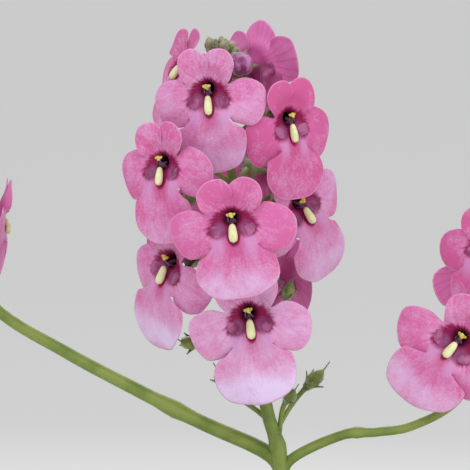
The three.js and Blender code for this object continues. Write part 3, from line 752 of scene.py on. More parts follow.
def spikePlaces(name, path, spike):  # blooms a golden angle apart, smaller and deeper towards the tip
    form, places = spikeForm, {}
    for i in range(spike["blooms"]):
        share = (i + 0.5) / spike["blooms"]
        size = lerp(*form["size"], share)
        way = spike["yaw"] + i * form["golden"]
        at = pathPoint(path, lerp(spike["from"], spike["to"], share))
        at += heading(way) * form["reach"] * size + upright * form["rise"]
        seed = spike["seed"] + i
        sway, nod, roll = (jitter(seed + k, form["jitter"]) for k in (0, 20, 40))
        droop, spread = form["droop"]
        places[f"{name}_{i + 1}"] = {
            "at": tuple(at),
            "turn": (way + sway, form["pitch"] + nod, roll),
            "size": size,
            "droop": droop + jitter(seed + 60, spread),
            **{key: lerp(*form[key], share) for key in ("pale", "lipPale", "deep")},
        }
    return places


# Bloom: one sheet of five lobes that runs into the tube, with spurs, club and stamens

bloomForm = {
    "lobes": (
        {"kind": "lateral", "shoulders": (105, 122)},
        {"kind": "upper", "shoulders": (100, 118)},
        {"kind": "upper", "shoulders": (118, 100)},
        {"kind": "lateral", "shoulders": (122, 105)},
        {"kind": "lip", "shoulders": (112, 112)},
    ),
    # each lobe's middle and half sizes in its plane, its rise, its curl back and how square its outline is
    "lateral": {"out": 7.2, "along": 4, "across": 4.2, "rise": 0.6, "curl": -2.6, "square": 0.8},
    "upper": {"out": 4.5, "along": 3.1, "across": 3.2, "rise": 0.9, "curl": 0.3, "square": 0.95},
    "lip": {"out": 8.9, "along": 5.6, "across": 6.9, "rise": 1.5, "curl": -1.9, "square": 0.92},
    "upperAngle": 33,
    "sideGap": 0.38,  # where a side lobe and the upper one part, as a share of the turn between them
    "lowGap": 32,  # degrees from a side lobe down to where it parts from the lip
    "parting": (3.8, 2.3, 3.8, 6.2, 6.2),  # radius at which each lobe leaves the one after it
    "inside": 0.3,  # the share of the way to the rim before that radius
    "free": (0.25, 1),  # the shares between which a lobe comes to bend freely
    "throat": 2.4,
    "throatDrop": 0.8,
    "cup": 4.7,
    # depth share, radius and height, from the tube's end up to the throat
    "tube": ((1, 0, -4.6), (0.75, 0.9, -3.2), (0.5, 1, -1.7), (0.25, 1.3, -1.05), (0, 2.4, -0.55)),
    "window": {"out": 2.15, "down": 2.1, "wide": 1.1, "tall": 1.4, "depth": 0.11},
    "ridge": {"out": 2.5, "wide": 0.8, "height": 0.32, "top": (-3, -4.6), "foot": (-10.5, -6.5)},
    "thickness": 0.2,
    "wave": {"height": 0.32, "count": 5.2, "step": 3.7, "shift": 2.1},
    "foldWidth": 2.2,
    "ragged": 0.045,  # how far a lobe's outline strays from its oval
    "waves": ((1, 2, 3), (0.8, 3, 5), (0.5, 7, 2)),  # size, count and shift of each wave in the outline
    "waist": 0.09,  # how far the lip's sides draw in below its neck
}
# columns in each lobe, rows along it, and the faces round the small parts
sheetDetail = {
    "fine": {
        "lip": 14, "lateral": 10, "upper": 8, "tube": 4, "shared": 3, "outer": 6,
        "spur": 10, "club": (18, 14), "anther": (10, 7),
    },
    "plain": {
        "lip": 8, "lateral": 6, "upper": 5, "tube": 3, "shared": 2, "outer": 4,
        "spur": 6, "club": (8, 6), "anther": (6, 4),
    },
}


def lobeOf(lobeIndex):
    lobe = bloomForm["lobes"][lobeIndex]
    return {**lobe, **bloomForm[lobe["kind"]]}


def lobeAngles(droop):  # each lobe's own direction, and the parting before and after it
    upper = 90 - bloomForm["upperAngle"]
    middle = (-droop, upper, 180 - upper, 180 + droop, 270)
    sideGap = lerp(-droop, upper, bloomForm["sideGap"])
    lowGap = -droop - bloomForm["lowGap"]
    after = (sideGap, 90, 180 - sideGap, 180 - lowGap, 360 + lowGap)
    before = (lowGap, *after[:4])
    return list(zip(before, middle, after))


def polar(angle, radius):
    return Vector((radius * math.cos(math.radians(angle)), radius * math.sin(math.radians(angle)), 0))


def tubeSection(depth):  # the tube's radius and height at a share of its depth
    stops = bloomForm["tube"]
    for (deepShare, *deep), (nearShare, *near) in zip(stops, stops[1:]):
        if depth >= nearShare:
            share = (depth - nearShare) / (deepShare - nearShare)
            return [lerp(a, b, share) for a, b in zip(near, deep)]


def lobeEdge(place, lobe, lobeIndex, across):  # the lobe's outline, an oval that squares and strays a little
    turn = across * math.radians(lobe["shoulders"][0 if across < 0 else 1])
    seed = place["seed"] + lobeIndex * 2.3
    waves = sum(size * math.sin(k * turn + seed * shift) for size, k, shift in bloomForm["waves"])
    ahead, aside = (
        math.copysign(abs(share) ** lobe["square"], share) * (1 + bloomForm["ragged"] * waves)
        for share in (math.cos(turn), math.sin(turn))
    )
    long = place.get("lip", 1) if lobe["kind"] == "lip" else 1
    return Vector(((lobe["out"] + lobe["along"] * ahead) * long, lobe["across"] * aside, 0))


def sheetPlan(place, detail, lobeIndex, across, row):
    # where a point of the sheet lies in the bloom's plan, and how far out: -1 tube, 0 throat, 1 rim
    form, lobe = bloomForm, lobeOf(lobeIndex)
    before, middle, after = lobeAngles(place["droop"])[lobeIndex]
    angle = middle + (middle - before if across < 0 else after - middle) * across
    if row < detail["tube"]:
        depth = 1 - row / detail["tube"]
        return polar(angle, tubeSection(depth)[0]), -depth
    parting = lerp(form["parting"][lobeIndex - 1], form["parting"][lobeIndex], (across + 1) / 2)
    shared = min((row - detail["tube"]) / detail["shared"], 1)
    inner = polar(angle, lerp(form["throat"], parting, shared))
    outerShare = max((row - detail["tube"] - detail["shared"]) / detail["outer"], 0)
    edge = lobeEdge(place, lobe, lobeIndex, across)
    edge.rotate(Matrix.Rotation(math.radians(middle), 3, "Z"))
    spot = inner.lerp(edge, outerShare)
    if lobe["kind"] == "lip":
        spot.x *= 1 - form["waist"] * math.sin(math.pi * outerShare) * abs(across) ** 3
    return spot, shared * form["inside"] + outerShare * (1 - form["inside"])


def hump(x, middle, half):  # 1 at the middle, falling smoothly to both sides
    return math.exp(-(((x - middle) / half) ** 2))


def sheetHeight(place, lobeIndex, across, point, rim):
    form, lobe = bloomForm, lobeOf(lobeIndex)
    if rim < 0:
        return tubeSection(-rim)[1]
    reach, aside = point.length, abs(point.x)
    height = lobe["rise"] * reach / 10 + lobe["curl"] * (reach / 10) ** 2
    height -= form["throatDrop"] * (1 - smooth(form["throat"], form["cup"], reach))
    window, ridge, wave = form["window"], form["ridge"], form["wave"]
    dip = hump(aside, window["out"], window["wide"]) * hump(point.y, -window["down"], window["tall"])
    neck = smooth(*ridge["top"], point.y) * smooth(*ridge["foot"], point.y)
    height += ridge["height"] * neck * hump(aside, ridge["out"], ridge["wide"]) - window["depth"] * dip
    free = smooth(*form["free"], rim)
    start = (place["seed"] + lobeIndex * wave["step"]) * wave["shift"]
    sway = math.sin(across * wave["count"] + start)
    height += free * free * wave["height"] * sway * place["wave"]
    height += free * abs(across) ** 3 * place["lift"][lobeIndex][0 if across < 0 else 1]
    height += free * place["cross"][lobe["kind"]] * (across * across - 0.3)
    if lobe["kind"] == "lip":
        height += place["fold"] * free * hump(point.x, place["foldAt"], form["foldWidth"])
        height += place["hang"] * rim * rim
    return height


def makeSheetPattern(name, detail):
    grids, known = [], KDTree(4000)
    steady = {"droop": 20, "seed": 0}
    rows = detail["tube"] + detail["shared"] + detail["outer"]
    facts = []
    for lobeIndex, lobe in enumerate(bloomForm["lobes"]):
        bpy.ops.mesh.primitive_grid_add(x_subdivisions=detail[lobe["kind"]], y_subdivisions=rows, size=2)
        grid = newest(name)
        for corner in grid.data.vertices:
            across, row = corner.co.x, round((corner.co.y + 1) / 2 * rows)
            point, rim = sheetPlan(steady, detail, lobeIndex, across, row)
            # lobes merge up to their parting only
            apart = 0.3 * lobeIndex * max(rim - bloomForm["inside"], 0)
            corner.co = point + upright * (tubeSection(-rim)[1] if rim < 0 else apart)
            known.insert(corner.co, len(facts))
            facts.append((lobeIndex, across, row, point, rim))
        grids.append(grid)
    known.balance()
    sheet = joined(grids, name)
    bpy.ops.object.mode_set(mode="EDIT")
    bpy.ops.mesh.select_all(action="SELECT")
    bpy.ops.mesh.remove_doubles(threshold=0.004)
    bpy.ops.object.mode_set(mode="OBJECT")
    spots = [facts[known.find(corner.co)[1]] for corner in sheet.data.vertices]
    writeVectors(sheet, "plan", [(point.x, point.y, rim) for _, _, _, point, rim in spots])
    turnOutwardLike(sheet, upright)
    return sheet, spots


def turnOutwardLike(item, direction):  # makes an open sheet's faces look towards a direction
    turnOutward(item)
    total = sum((face.normal * face.area for face in item.data.polygons), Vector())
    if total.dot(direction) < 0:
        item.data.flip_normals()


spurForm = {
    "root": (2.45, -1.9, -0.6),
    "bend": (3.7, -3, -4.2),
    "tip": (3.7, -6.1, -6.5),
    "radii": (1.5, 1.2, 0.95, 0.75, 0.62, 0.5, 0.34, 0.12),
}


def makeSpur(sides):
    root, bend, tip = (Vector(spurForm[key]) for key in ("root", "bend", "tip"))
    count = len(spurForm["radii"]) - 1
    points = []
    for i in range(count + 1):
        t = i / count
        points.append(root * (1 - t) ** 2 + bend * 2 * t * (1 - t) + tip * t * t)
    right = tubes("spur", [(points, spurForm["radii"])], sides)
    paint(right, materials["spur"])
    left = copyOf(right, Matrix.Scale(-1, 4, (1, 0, 0)))
    return joined([right, left], "spurs")


clubForm = {
    "top": -0.9,
    "length": 3.3,
    "radius": 0.8,
    "front": 0.45,
    "lean": -12,
    "blunt": 2.7,
    "slim": 0.78,  # how thin the top is beside the foot
    "taper": (1, -0.7),
    "groove": {"deep": 0.12, "wide": 0.3, "reach": (-0.4, -0.95)},
    "neck": (((0, -0.2, -2.2), 0.3), ((0, -0.5, -1), 0.32), ((0, -1.1, -0.2), 0.4)),
}


def makeClub(segments, rings):
    form = clubForm
    length, radius, blunt, groove = (form[key] for key in ("length", "radius", "blunt", "groove"))
    bpy.ops.mesh.primitive_uv_sphere_add(segments=segments, ring_count=rings, radius=1)
    club = newest("club")
    for corner in club.data.vertices:
        x, y, z = corner.co
        level = math.asin(max(-1, min(1, z))) / (math.pi / 2)  # rings spread evenly along the club
        slim = lerp(form["slim"], 1, smooth(*form["taper"], level))
        girth = (1 - abs(level) ** blunt) ** (1 / blunt) * slim
        around = max(math.hypot(x, y), 0.001)
        front = hump(x / around, 0, groove["wide"]) if y > 0 else 0
        dip = groove["deep"] * front * smooth(*groove["reach"], level)
        corner.co = (x / around * girth * radius, level * length / 2, (y / around * radius - dip) * girth)
    club.data.flip_normals()
    lean = Matrix.Rotation(math.radians(form["lean"]), 4, "X")
    club.data.transform(Matrix.Translation((0, form["top"] - length / 2, form["front"])) @ lean)
    paint(club, materials["club"])
    points, radii = zip(*form["neck"])
    neck = tubes("clubNeck", [(points, radii)], 6)
    paint(neck, materials["filament"])
    return joined([club, neck], "club")


antherForm = {
    "centre": (-0.05, 0.45, 0.5),
    "spots": ((-0.44, 0.1, 0), (0.42, 0.14, -0.08), (-0.06, 0.24, 0.08), (0.05, -0.14, 0.12)),
    "radii": (0.42, 0.27, 0.28),
    "turns": (-14, 24, 5, 160),
    "threads": ((0.32, -0.9, -1.5), (0.42, -0.55, -0.1)),
    "threadRadii": (0.17, 0.15, 0.1),
}


def makeStamens(segments, rings):
    centre = Vector(antherForm["centre"])
    pieces, lines = [], []
    for i, spot in enumerate(antherForm["spots"]):
        bpy.ops.mesh.primitive_uv_sphere_add(segments=segments, ring_count=rings, radius=1)
        anther = newest("anther")
        turn = Matrix.Rotation(math.radians(antherForm["turns"][i]), 4, "Z")
        place = Matrix.Translation(centre + Vector(spot)) @ turn @ Matrix.Diagonal((*antherForm["radii"], 1))
        anther.data.transform(place)
        paint(anther, materials["anther"])
        pieces.append(anther)
        aside = i - 1.5
        thread = [(out * aside, y, z) for out, y, z in antherForm["threads"]]
        lines.append(([*thread, centre + Vector(spot)], antherForm["threadRadii"]))
    threads = tubes("filaments", lines, 4)
    paint(threads, materials["filament"])
    return joined([threads, *pieces], "stamens")


def makeBloomPatterns():
    patterns = {}
    for level, detail in sheetDetail.items():
        sheet, spots = makeSheetPattern(f"sheet_{level}", detail)
        extras = [makeSpur(detail["spur"]), makeClub(*detail["club"]), makeStamens(*detail["anther"])]
        patterns[level] = {"sheet": sheet, "spots": spots, "extras": extras, "detail": detail}
    return patterns


habitForm = {  # the ends between which each bloom's own habit is drawn
    "seed": (0, 6),
    "wave": (0.5, 1.2),
    "cross": {"lip": (-0.5, 0.1), "lateral": (-0.4, 0.3), "upper": (-0.3, 0.35)},
    "fold": (-0.5, 0.1),
    "foldAt": (-0.8, 0.8),
    "hang": (-0.2, 0.5),
}
lobeLift = ((0.2, -0.12), (0.25, -0.15), (0.4, 0.25), (-0.12, 0.2), (-0.2, -0.2))  # at each lobe's two sides


def bloomHabit(name, place):  # what sets one bloom's lobes apart from the next one's
    draw, form = random.Random(f"bloom {name}"), habitForm
    habit = {key: draw.uniform(*form[key]) for key in ("seed", "wave")}
    habit["cross"] = {kind: draw.uniform(*ends) for kind, ends in form["cross"].items()}
    habit.update({key: draw.uniform(*form[key]) for key in ("fold", "foldAt", "hang")})
    return {**habit, "lift": lobeLift, **place}


def makeBloom(name, place, pattern):
    place = bloomHabit(name, place)
    sheet = copyOf(pattern["sheet"], Matrix.Identity(4))
    for corner, (lobeIndex, across, row, _, _) in zip(sheet.data.vertices, pattern["spots"]):
        point, rim = sheetPlan(place, pattern["detail"], lobeIndex, across, row)
        corner.co = point + upright * sheetHeight(place, lobeIndex, across, point, rim)
    paint(sheet, materials["face"], materials["back"])
    tone = (place.get("pale", 0.1), place.get("lipPale", 0.3), place.get("deep", 0.2))
    writeVectors(sheet, "tone", [tone] * len(sheet.data.vertices))
    wall = {"thickness": bloomForm["thickness"], "offset": -1, "use_even_offset": False}
    applyModifier(sheet, "SOLIDIFY", material_offset=1, material_offset_rim=0, **wall)
    applyModifier(sheet, "SUBSURF", levels=1, render_levels=1)
    extras = [copyOf(extra, Matrix.Identity(4)) for extra in pattern["extras"]]
    bloom = joined([sheet, *extras], f"twinspur_bloom_{name}")
    size = place["size"]
    scale = Matrix.Diagonal((size * place.get("wide", 1), size, size, 1))
    bloom.data.transform(placeMatrix(place) @ scale)
    return finishPiece(bloom, "petal", f"bloom_{name}")


def makeBlooms(allPlaces):
    patterns = makeBloomPatterns()
    made = []
    for name, place in allPlaces.items():
        made.append(makeBloom(name, place, patterns["fine" if name in fineBlooms else "plain"]))
    for pattern in patterns.values():
        for item in (pattern["sheet"], *pattern["extras"]):
            bpy.data.objects.remove(item)
    return made


def placesOn(plans):
    return {name: spikePlaces(name, plan["path"], plan["spike"]) for name, plan in plans.items()}


branchPlaces = placesOn(branchPlans)
branchPlaces["right"] = {"right_first": edgeBloom, **branchPlaces["right"]}
sidePlaces = placesOn(sideStems)
everyPlace = dict(bloomPlaces)
for places in (*branchPlaces.values(), *sidePlaces.values()):
    everyPlace.update(places)
blooms = makeBlooms(everyPlace)
print("blooms ready:", len(blooms))


# Green parts: calyxes, flower stalks, buds, pods, leaves and hairs, joined into one piece for each stem

calyxForm = {"cup": ((-7.8, 0.5), (-7.2, 1.05), (-6.4, 1.55), (-5.6, 1.85)), "sides": 20, "wall": 0.22}
sepalShape = {
    "wall": 0.2,
    "grid": (4, 6),
    "taper": 2.2,
    "waist": 0.25,  # how much narrower it is at its foot
    "tip": 0.03,
    "bend": 1.7,
    "hollow": 0.16,
}
sepalForms = {
    "calyx": {"base": -6, "length": 2.9, "flare": 1.15, "inner": 1.82, "half": 0.82},
    "pod": {"base": -4.3, "length": 2.7, "flare": 1.5, "inner": 0.75, "half": 0.68},
    "bigBud": {"base": -2.5, "length": 3.1, "flare": -0.1, "inner": 1.75, "half": 0.8},
    "tipBud": {"base": -2.5, "length": 4.2, "flare": -0.9, "inner": 1.75, "half": 0.8},
}
podForm = {
    "middle": -1.8,
    "long": 2.3,
    "wide": 1.42,
    "flat": 0.92,
    "taper": 0.35,
    "ribs": 0.06,
    "style": ((0, 0, -0.3), (0.1, 0.1, 0.6), (0.3, 0.35, 1.9)),  # from the pod's top
    "styleRadii": (0.22, 0.13, 0.11),
    "foot": -4.4,
}
budForm = {"long": 2.7, "wide": 1.95, "taper": 0.22, "creases": 5, "twist": 2.4, "sharp": 6}
budKinds = {
    "bigBud": {"skin": "bud", "faces": (40, 14), "crease": 0.17},
    "tipBud": {"skin": "tipBud", "faces": (14, 9), "crease": 0},
}
stalkForm = {"radius": 0.45, "flare": 1.2, "steps": 8, "first": 0.35, "rise": 0.1, "last": 0.3}
stemForm = {"steps": 6, "knot": 1.1, "swell": 0.28}


def makeSepal(form, turn):
    shape = sepalShape
    columns, rows = shape["grid"]
    bpy.ops.mesh.primitive_grid_add(x_subdivisions=columns, y_subdivisions=rows, size=2)
    sepal = newest("sepal")
    for corner in sepal.data.vertices:
        across, along = corner.co.x, (corner.co.y + 1) / 2
        waist = 1 - shape["waist"] * (1 - along) ** 2
        width = form["half"] * (1 - along ** shape["taper"]) * waist + shape["tip"]
        radius = form["inner"] + form["flare"] * along ** shape["bend"] - shape["hollow"] * across * across
        corner.co = (across * width, radius, form["base"] + form["length"] * along)
    turnOutwardLike(sepal, Vector((0, 1, 0)))
    sepal.data.transform(Matrix.Rotation(math.radians(turn), 4, "Z"))
    applyModifier(sepal, "SOLIDIFY", thickness=shape["wall"], offset=-1)
    return sepal


def fiveSepals(kind):
    return [makeSepal(sepalForms[kind], 36 + 72 * k) for k in range(5)]


def makeCalyx():
    (z, radius), *rest = calyxForm["cup"]
    bpy.ops.mesh.primitive_circle_add(
        vertices=calyxForm["sides"], radius=radius, location=(0, 0, z), fill_type="NGON"
    )
    cup = newest("calyxCup")
    bpy.ops.object.transform_apply()
    bpy.ops.object.mode_set(mode="EDIT")
    bpy.ops.mesh.select_all(action="SELECT")
    for nextZ, nextRadius in rest:
        grow = nextRadius / radius
        bpy.ops.mesh.extrude_region_move(TRANSFORM_OT_translate={"value": (0, 0, nextZ - z)})
        bpy.ops.transform.resize(value=(grow, grow, 1))
        z, radius = nextZ, nextRadius
    bpy.ops.object.mode_set(mode="OBJECT")
    turnOutward(cup)
    calyx = joined([cup, *fiveSepals("calyx")], "calyx")
    paint(calyx, materials["calyx"])
    return calyx


def makePod():
    form = podForm
    bpy.ops.mesh.primitive_uv_sphere_add(segments=14, ring_count=9, radius=1)
    capsule = newest("capsule")
    for corner in capsule.data.vertices:
        x, y, z = corner.co
        ribs = form["ribs"] * math.cos(4 * math.atan2(y, x))
        girth = form["wide"] * (1 - form["taper"] * smooth(0.1, 1, z) - ribs)
        corner.co = (x * girth, y * girth * form["flat"], form["middle"] + z * form["long"])
    paint(capsule, materials["pod"])
    top = form["middle"] + form["long"]
    points = [(x, y, top + z) for x, y, z in form["style"]]
    style = tubes("style", [(points, form["styleRadii"])], 5)
    green = joined([style, *fiveSepals("pod")], "podCalyx")
    paint(green, materials["calyx"])
    return joined([capsule, green], "pod")


def makeBud(kind):
    form, shape = budForm, budKinds[kind]
    segments, rings = shape["faces"]
    bpy.ops.mesh.primitive_uv_sphere_add(segments=segments, ring_count=rings, radius=1)
    bud = newest(kind)
    for corner in bud.data.vertices:
        x, y, z = corner.co
        around = math.cos(form["creases"] * math.atan2(y, x) + form["twist"] * z)
        crease = shape["crease"] * (0.5 + 0.5 * around) ** form["sharp"]
        girth = form["wide"] * (1 - crease) * (1 - form["taper"] * smooth(0.2, 1, z))
        corner.co = (x * girth, y * girth, z * form["long"])
    paint(bud, materials[shape["skin"]])
    green = joined(fiveSepals(kind), "budCalyx")
    paint(green, materials["calyx"])
    return joined([bud, green], kind)


leafForm = {
    "length": 21,
    "half": 7.2,
    "widest": 0.72,  # below 1 brings the widest part nearer the foot
    "blunt": 0.75,
    "neck": (0.02, 0.2),
    "least": 0.05,  # the share of its width that it keeps at both ends
    "wall": 0.42,
    "fold": 0.28,
    "arch": 0.22,
    "rise": 24,
    "bends": (0, 18, -16, 36, -30),
    "teeth": 7,
    "rowsPerTooth": 4,
    "columns": 8,
    "toothDepth": 0.2,
    "ripple": 0.35,
    "stray": {"turn": 14, "size": 0.1},
    "near": 0.7,  # how close to a leaf's tip the solid has a corner, where it has that leaf
}


def makeLeaf():
    form = leafForm
    rows = form["teeth"] * form["rowsPerTooth"]
    bpy.ops.mesh.primitive_grid_add(x_subdivisions=form["columns"], y_subdivisions=rows, size=2)
    leaf = newest("leaf")
    spots = []
    for corner in leaf.data.vertices:
        across, along = corner.co.x, (corner.co.y + 1) / 2
        outline = max(math.sin(math.pi * along ** form["widest"]), 0) ** form["blunt"]
        outline = outline * smooth(*form["neck"], along) + form["least"]
        tooth = (along * form["teeth"]) % 1
        ragged = 1 - form["toothDepth"] * tooth * smooth(0.1, 0.3, along) * smooth(0.4, 1, abs(across))
        x = across * form["half"] * outline * ragged
        z = abs(x) * form["fold"] - form["arch"] * form["length"] * along * along
        ripple = math.sin(along * form["teeth"] * 2 * math.pi) * smooth(0.3, 1, abs(across))
        z += form["ripple"] * ripple * outline
        corner.co = (x, along * form["length"], z)
        spots.append((across, along, 0))
    writeVectors(leaf, "blade", spots)
    turnOutwardLike(leaf, upright)
    paint(leaf, materials["leaf"], materials["leafUnder"])
    wall = {"thickness": form["wall"], "offset": 0}
    applyModifier(leaf, "SOLIDIFY", material_offset=1, material_offset_rim=0, **wall)
    return leaf


def leafMatrix(root, turn, rise, size):
    level = heading(turn)
    along = level * math.cos(math.radians(rise)) + upright * math.sin(math.radians(rise))
    side = Vector((math.cos(math.radians(turn)), math.sin(math.radians(turn)), 0))
    up = along.cross(side)
    turned = Matrix((side, along, up)).transposed().to_4x4()
    return Matrix.Translation(root) @ turned @ Matrix.Scale(size, 4)


def leafTree(node):  # the solid's corners, to find which leaves it has
    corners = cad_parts[node].data.vertices
    tree = KDTree(len(corners))
    for i, corner in enumerate(corners):
        tree.insert(corner.co / mm, i)
    tree.balance()
    return tree


def leavesOn(node, path, rule, turn, leaf):
    # opposite pairs, each turned a quarter from the one below, where the solid has a leaf's tip
    solid, stray, grown = leafTree(node), leafForm["stray"], []
    tip = Vector((0, leafForm["length"], -leafForm["arch"] * leafForm["length"]))
    for k in range(rule["pairs"]):
        share = k / (rule["pairs"] - 1)
        root = pathPoint(path, lerp(rule["from"], rule["to"], share))
        for half in (0, 1):
            way = turn + k * 90 + half * 180 + jitter(turn + k * 7 + half * 3, stray["turn"])
            size = lerp(*rule["size"], share) * (1 + jitter(turn + k * 5 + half, stray["size"]))
            for bend in leafForm["bends"]:
                matrix = leafMatrix(root, way, leafForm["rise"] + bend, size)
                if solid.find(matrix @ tip)[2] < leafForm["near"]:
                    grown.append(copyOf(leaf, matrix))
                    break
    return grown


def bezierPoint(t, start, first, second, end):
    return start * (1 - t) ** 3 + first * 3 * t * (1 - t) ** 2 + second * 3 * t * t * (1 - t) + end * t ** 3


def stalkLine(root, place, start):  # from the stem to the back of a bloom, bud or pod, ending along its axis
    form, at = stalkForm, placeMatrix(place)
    axis = (at.to_3x3() @ upright).normalized()
    end = at @ Vector((0, 0, start))
    reach = (end - root).length
    first = root.lerp(end, form["first"]) + upright * reach * form["rise"]
    last = end - axis * reach * form["last"]
    points = [bezierPoint(i / form["steps"], root, first, last, end) for i in range(form["steps"] + 1)]
    return points, [form["radius"]] * form["steps"] + [form["radius"] * form["flare"]]


def stemLine(path, radius, knots):  # knots are the shares where leaves or branches thicken the stem
    count = stemForm["steps"] * len(path)
    points = [pathPoint(path, i / count) for i in range(count + 1)]
    radii = []
    for i in range(count + 1):
        share = i / count
        swell = sum(math.exp(-(((share - knot) * count / stemForm["knot"]) ** 2)) for knot in knots)
        radii.append(lerp(*radius, share) * (1 + stemForm["swell"] * min(swell, 1)))
    return points, radii


def leafKnots(rule):
    return [lerp(rule["from"], rule["to"], k / (rule["pairs"] - 1)) for k in range(rule["pairs"])]


hairForm = {"length": 0.5, "vary": (0.5, 1.25), "radius": 0.022, "lean": 0.45, "sink": 0.05, "stray": 0.9}
furry = ("stem", "calyx", "tipBud", "pod")


def hairsOn(item, count, seed, topShare):  # hairs from this share of the piece's height upwards
    draw, form = random.Random(f"hairs {seed}"), hairForm
    mesh = item.data
    levels = [corner.co.z for corner in mesh.vertices]
    low = lerp(min(levels), max(levels), topShare)
    skins = {i for i, material in enumerate(mesh.materials) if material.name in furry}
    faces = [face for face in mesh.polygons if face.material_index in skins and face.center.z > low]
    corners, sides = [], []
    for _ in range(count):
        face = draw.choice(faces)
        root = face.center.lerp(mesh.vertices[draw.choice(face.vertices)].co, draw.random() * form["stray"])
        way = (face.normal + Vector([draw.uniform(-1, 1) for _ in range(3)]) * form["lean"]).normalized()
        side = way.orthogonal().normalized() * form["radius"]
        start = len(corners)
        sides.append((start, start + 2, start + 1))
        for k in range(3):
            corners.append(root - way * form["sink"] + Matrix.Rotation(k * 2 * math.pi / 3, 3, way) @ side)
            sides.append((start + k, start + (k + 1) % 3, start + 3))
        corners.append(root + way * form["length"] * draw.uniform(*form["vary"]))
    hairMesh = bpy.data.meshes.new("hairs")
    hairMesh.from_pydata(corners, [], sides)
    hairs = bpy.data.objects.new("hairs", hairMesh)
    bpy.context.scene.collection.objects.link(hairs)
    paint(hairs, materials["hair"])
    return joined([item, hairs], item.name)


mainPods = (
    {"at": (15.2, 2, 226.8), "root": 216, "turn": (60, 44, 0), "size": 1},
    {"at": (9.8, 1.5, 242.4), "root": 231, "turn": (40, 64, 0), "size": 0.75},
    {"at": (-9, -3, 232.8), "root": 225, "turn": (-38, 12, 0), "size": 0.95},
    {"at": (10.2, -2.5, 224), "root": 214, "turn": (30, 40, 0), "size": 0.8},
    {"at": (-3, 8, 226), "root": 218, "turn": (200, 30, 0), "size": 0.9},
)
bigBud = {"at": (1, -6, 280.9), "root": 273, "turn": (14, -8, 0), "size": 1.08}
smallBuds = (
    {"at": (-4.3, -3.4, 284.6), "root": 281, "turn": (-20, 60, 0), "size": 0.4},
    {"at": (-2, -3.6, 284), "root": 281, "turn": (20, 40, 0), "size": 0.38},
    {"at": (-4.4, 1, 284), "root": 280.5, "turn": (210, 40, 0), "size": 0.46},
    {"at": (-0.6, 0.4, 283.8), "root": 280.5, "turn": (110, 50, 0), "size": 0.42},
)


crowdForm = {
    "count": 12,
    "at": (-2.3, -1.8, 284.8),
    "sink": 0.16,
    "out": (0.6, 0.17),  # the first bud's distance from the middle, and the step to the next
    "pitch": (70, -3),
    "root": 281.5,
    "size": (0.24, 0.36),
}
tipForm = {"count": 3, "from": 0.985, "step": 0.012, "out": 2.1, "up": 2.4, "pitch": 45, "size": 0.72}


def crowdedBuds():  # the youngest buds, crowded round the tip of the tallest spike
    form, buds = crowdForm, []
    draw = random.Random("crowded buds")
    for k in range(form["count"]):
        way = k * spikeForm["golden"]
        out, pitch = (first + step * k for first, step in (form["out"], form["pitch"]))
        at = Vector(form["at"]) - upright * form["sink"] * k + heading(way) * out
        size = draw.uniform(*form["size"])
        buds.append({"at": tuple(at), "root": form["root"], "turn": (way, pitch, 0), "size": size})
    return buds


def tipBuds(path, seed):
    form, buds = tipForm, []
    for i in range(form["count"]):
        root = pathPoint(path, form["from"] - form["step"] * i)
        way = seed * 40 + i * spikeForm["golden"]
        at = root + heading(way) * form["out"] + upright * form["up"]
        buds.append({"at": tuple(at), "base": root, "turn": (way, form["pitch"], 0), "size": form["size"]})
    return buds


class Greenery:  # gathers one stem's lines and heads, and joins them at the end
    def __init__(self, name, patterns):
        self.name, self.patterns = name, patterns
        self.lines, self.parts = [], []

    def head(self, kind, root, place, start):
        size = place["size"]
        self.lines.append(stalkLine(root, place, start * size))
        self.parts.append(copyOf(self.patterns[kind], placeMatrix(place) @ Matrix.Scale(size, 4)))

    def flowers(self, path, places):
        for place in places.values():
            root = pathRoot(path, place.get("root", place["at"][2] - spikeForm["drop"] * place["size"]))
            self.head("calyx", root, place, calyxForm["cup"][0][0])

    def tips(self, path, seed):
        for bud in tipBuds(path, seed):
            self.head("tipBud", bud["base"], bud, -budForm["long"])

    def leaves(self, plan, form):
        rule = form["leaves"]
        self.parts += leavesOn(self.name, plan["path"], rule, plan["turn"], self.patterns["leaf"])

    def finish(self, form):
        stems = tubes("stalks", self.lines, 10)
        paint(stems, materials["stem"])
        whole = joined([stems, *self.parts], f"twinspur_{self.name}")
        return finishPiece(hairsOn(whole, form["hairs"], self.name, form["bald"]), "leaf", self.name)


def makeMainStem(patterns):
    plan, path = mainStem, mainStem["path"]
    green = Greenery("stem_main", patterns)
    green.lines.append(stemLine(path, plan["radius"], [*leafKnots(plan["leaves"]), plan["fork"]]))
    green.flowers(path, bloomPlaces)
    for pod in mainPods:
        green.head("pod", pathRoot(path, pod["root"]), pod, podForm["foot"])
    green.head("bigBud", pathRoot(path, bigBud["root"]), bigBud, -budForm["long"])
    for bud in (*smallBuds, *crowdedBuds()):
        green.head("tipBud", pathRoot(path, bud["root"]), bud, -budForm["long"])
    for name, branch in branchPlans.items():
        green.lines.append(stemLine(branch["path"], branch["radius"], [branchKnot]))
        green.flowers(branch["path"], branchPlaces[name])
        green.tips(branch["path"], branch["spike"]["seed"])
    green.leaves(plan, plan)
    return green.finish(plan)


def makeSideStem(kind, name, plan, patterns):
    form = sideForms[kind]
    green = Greenery(f"{kind}_{name}", patterns)
    green.lines.append(stemLine(plan["path"], form["radius"], leafKnots(form["leaves"])))
    if "spike" in plan:
        green.flowers(plan["path"], sidePlaces[name])
        green.tips(plan["path"], plan["spike"]["seed"])
    green.leaves(plan, form)
    return green.finish(form)


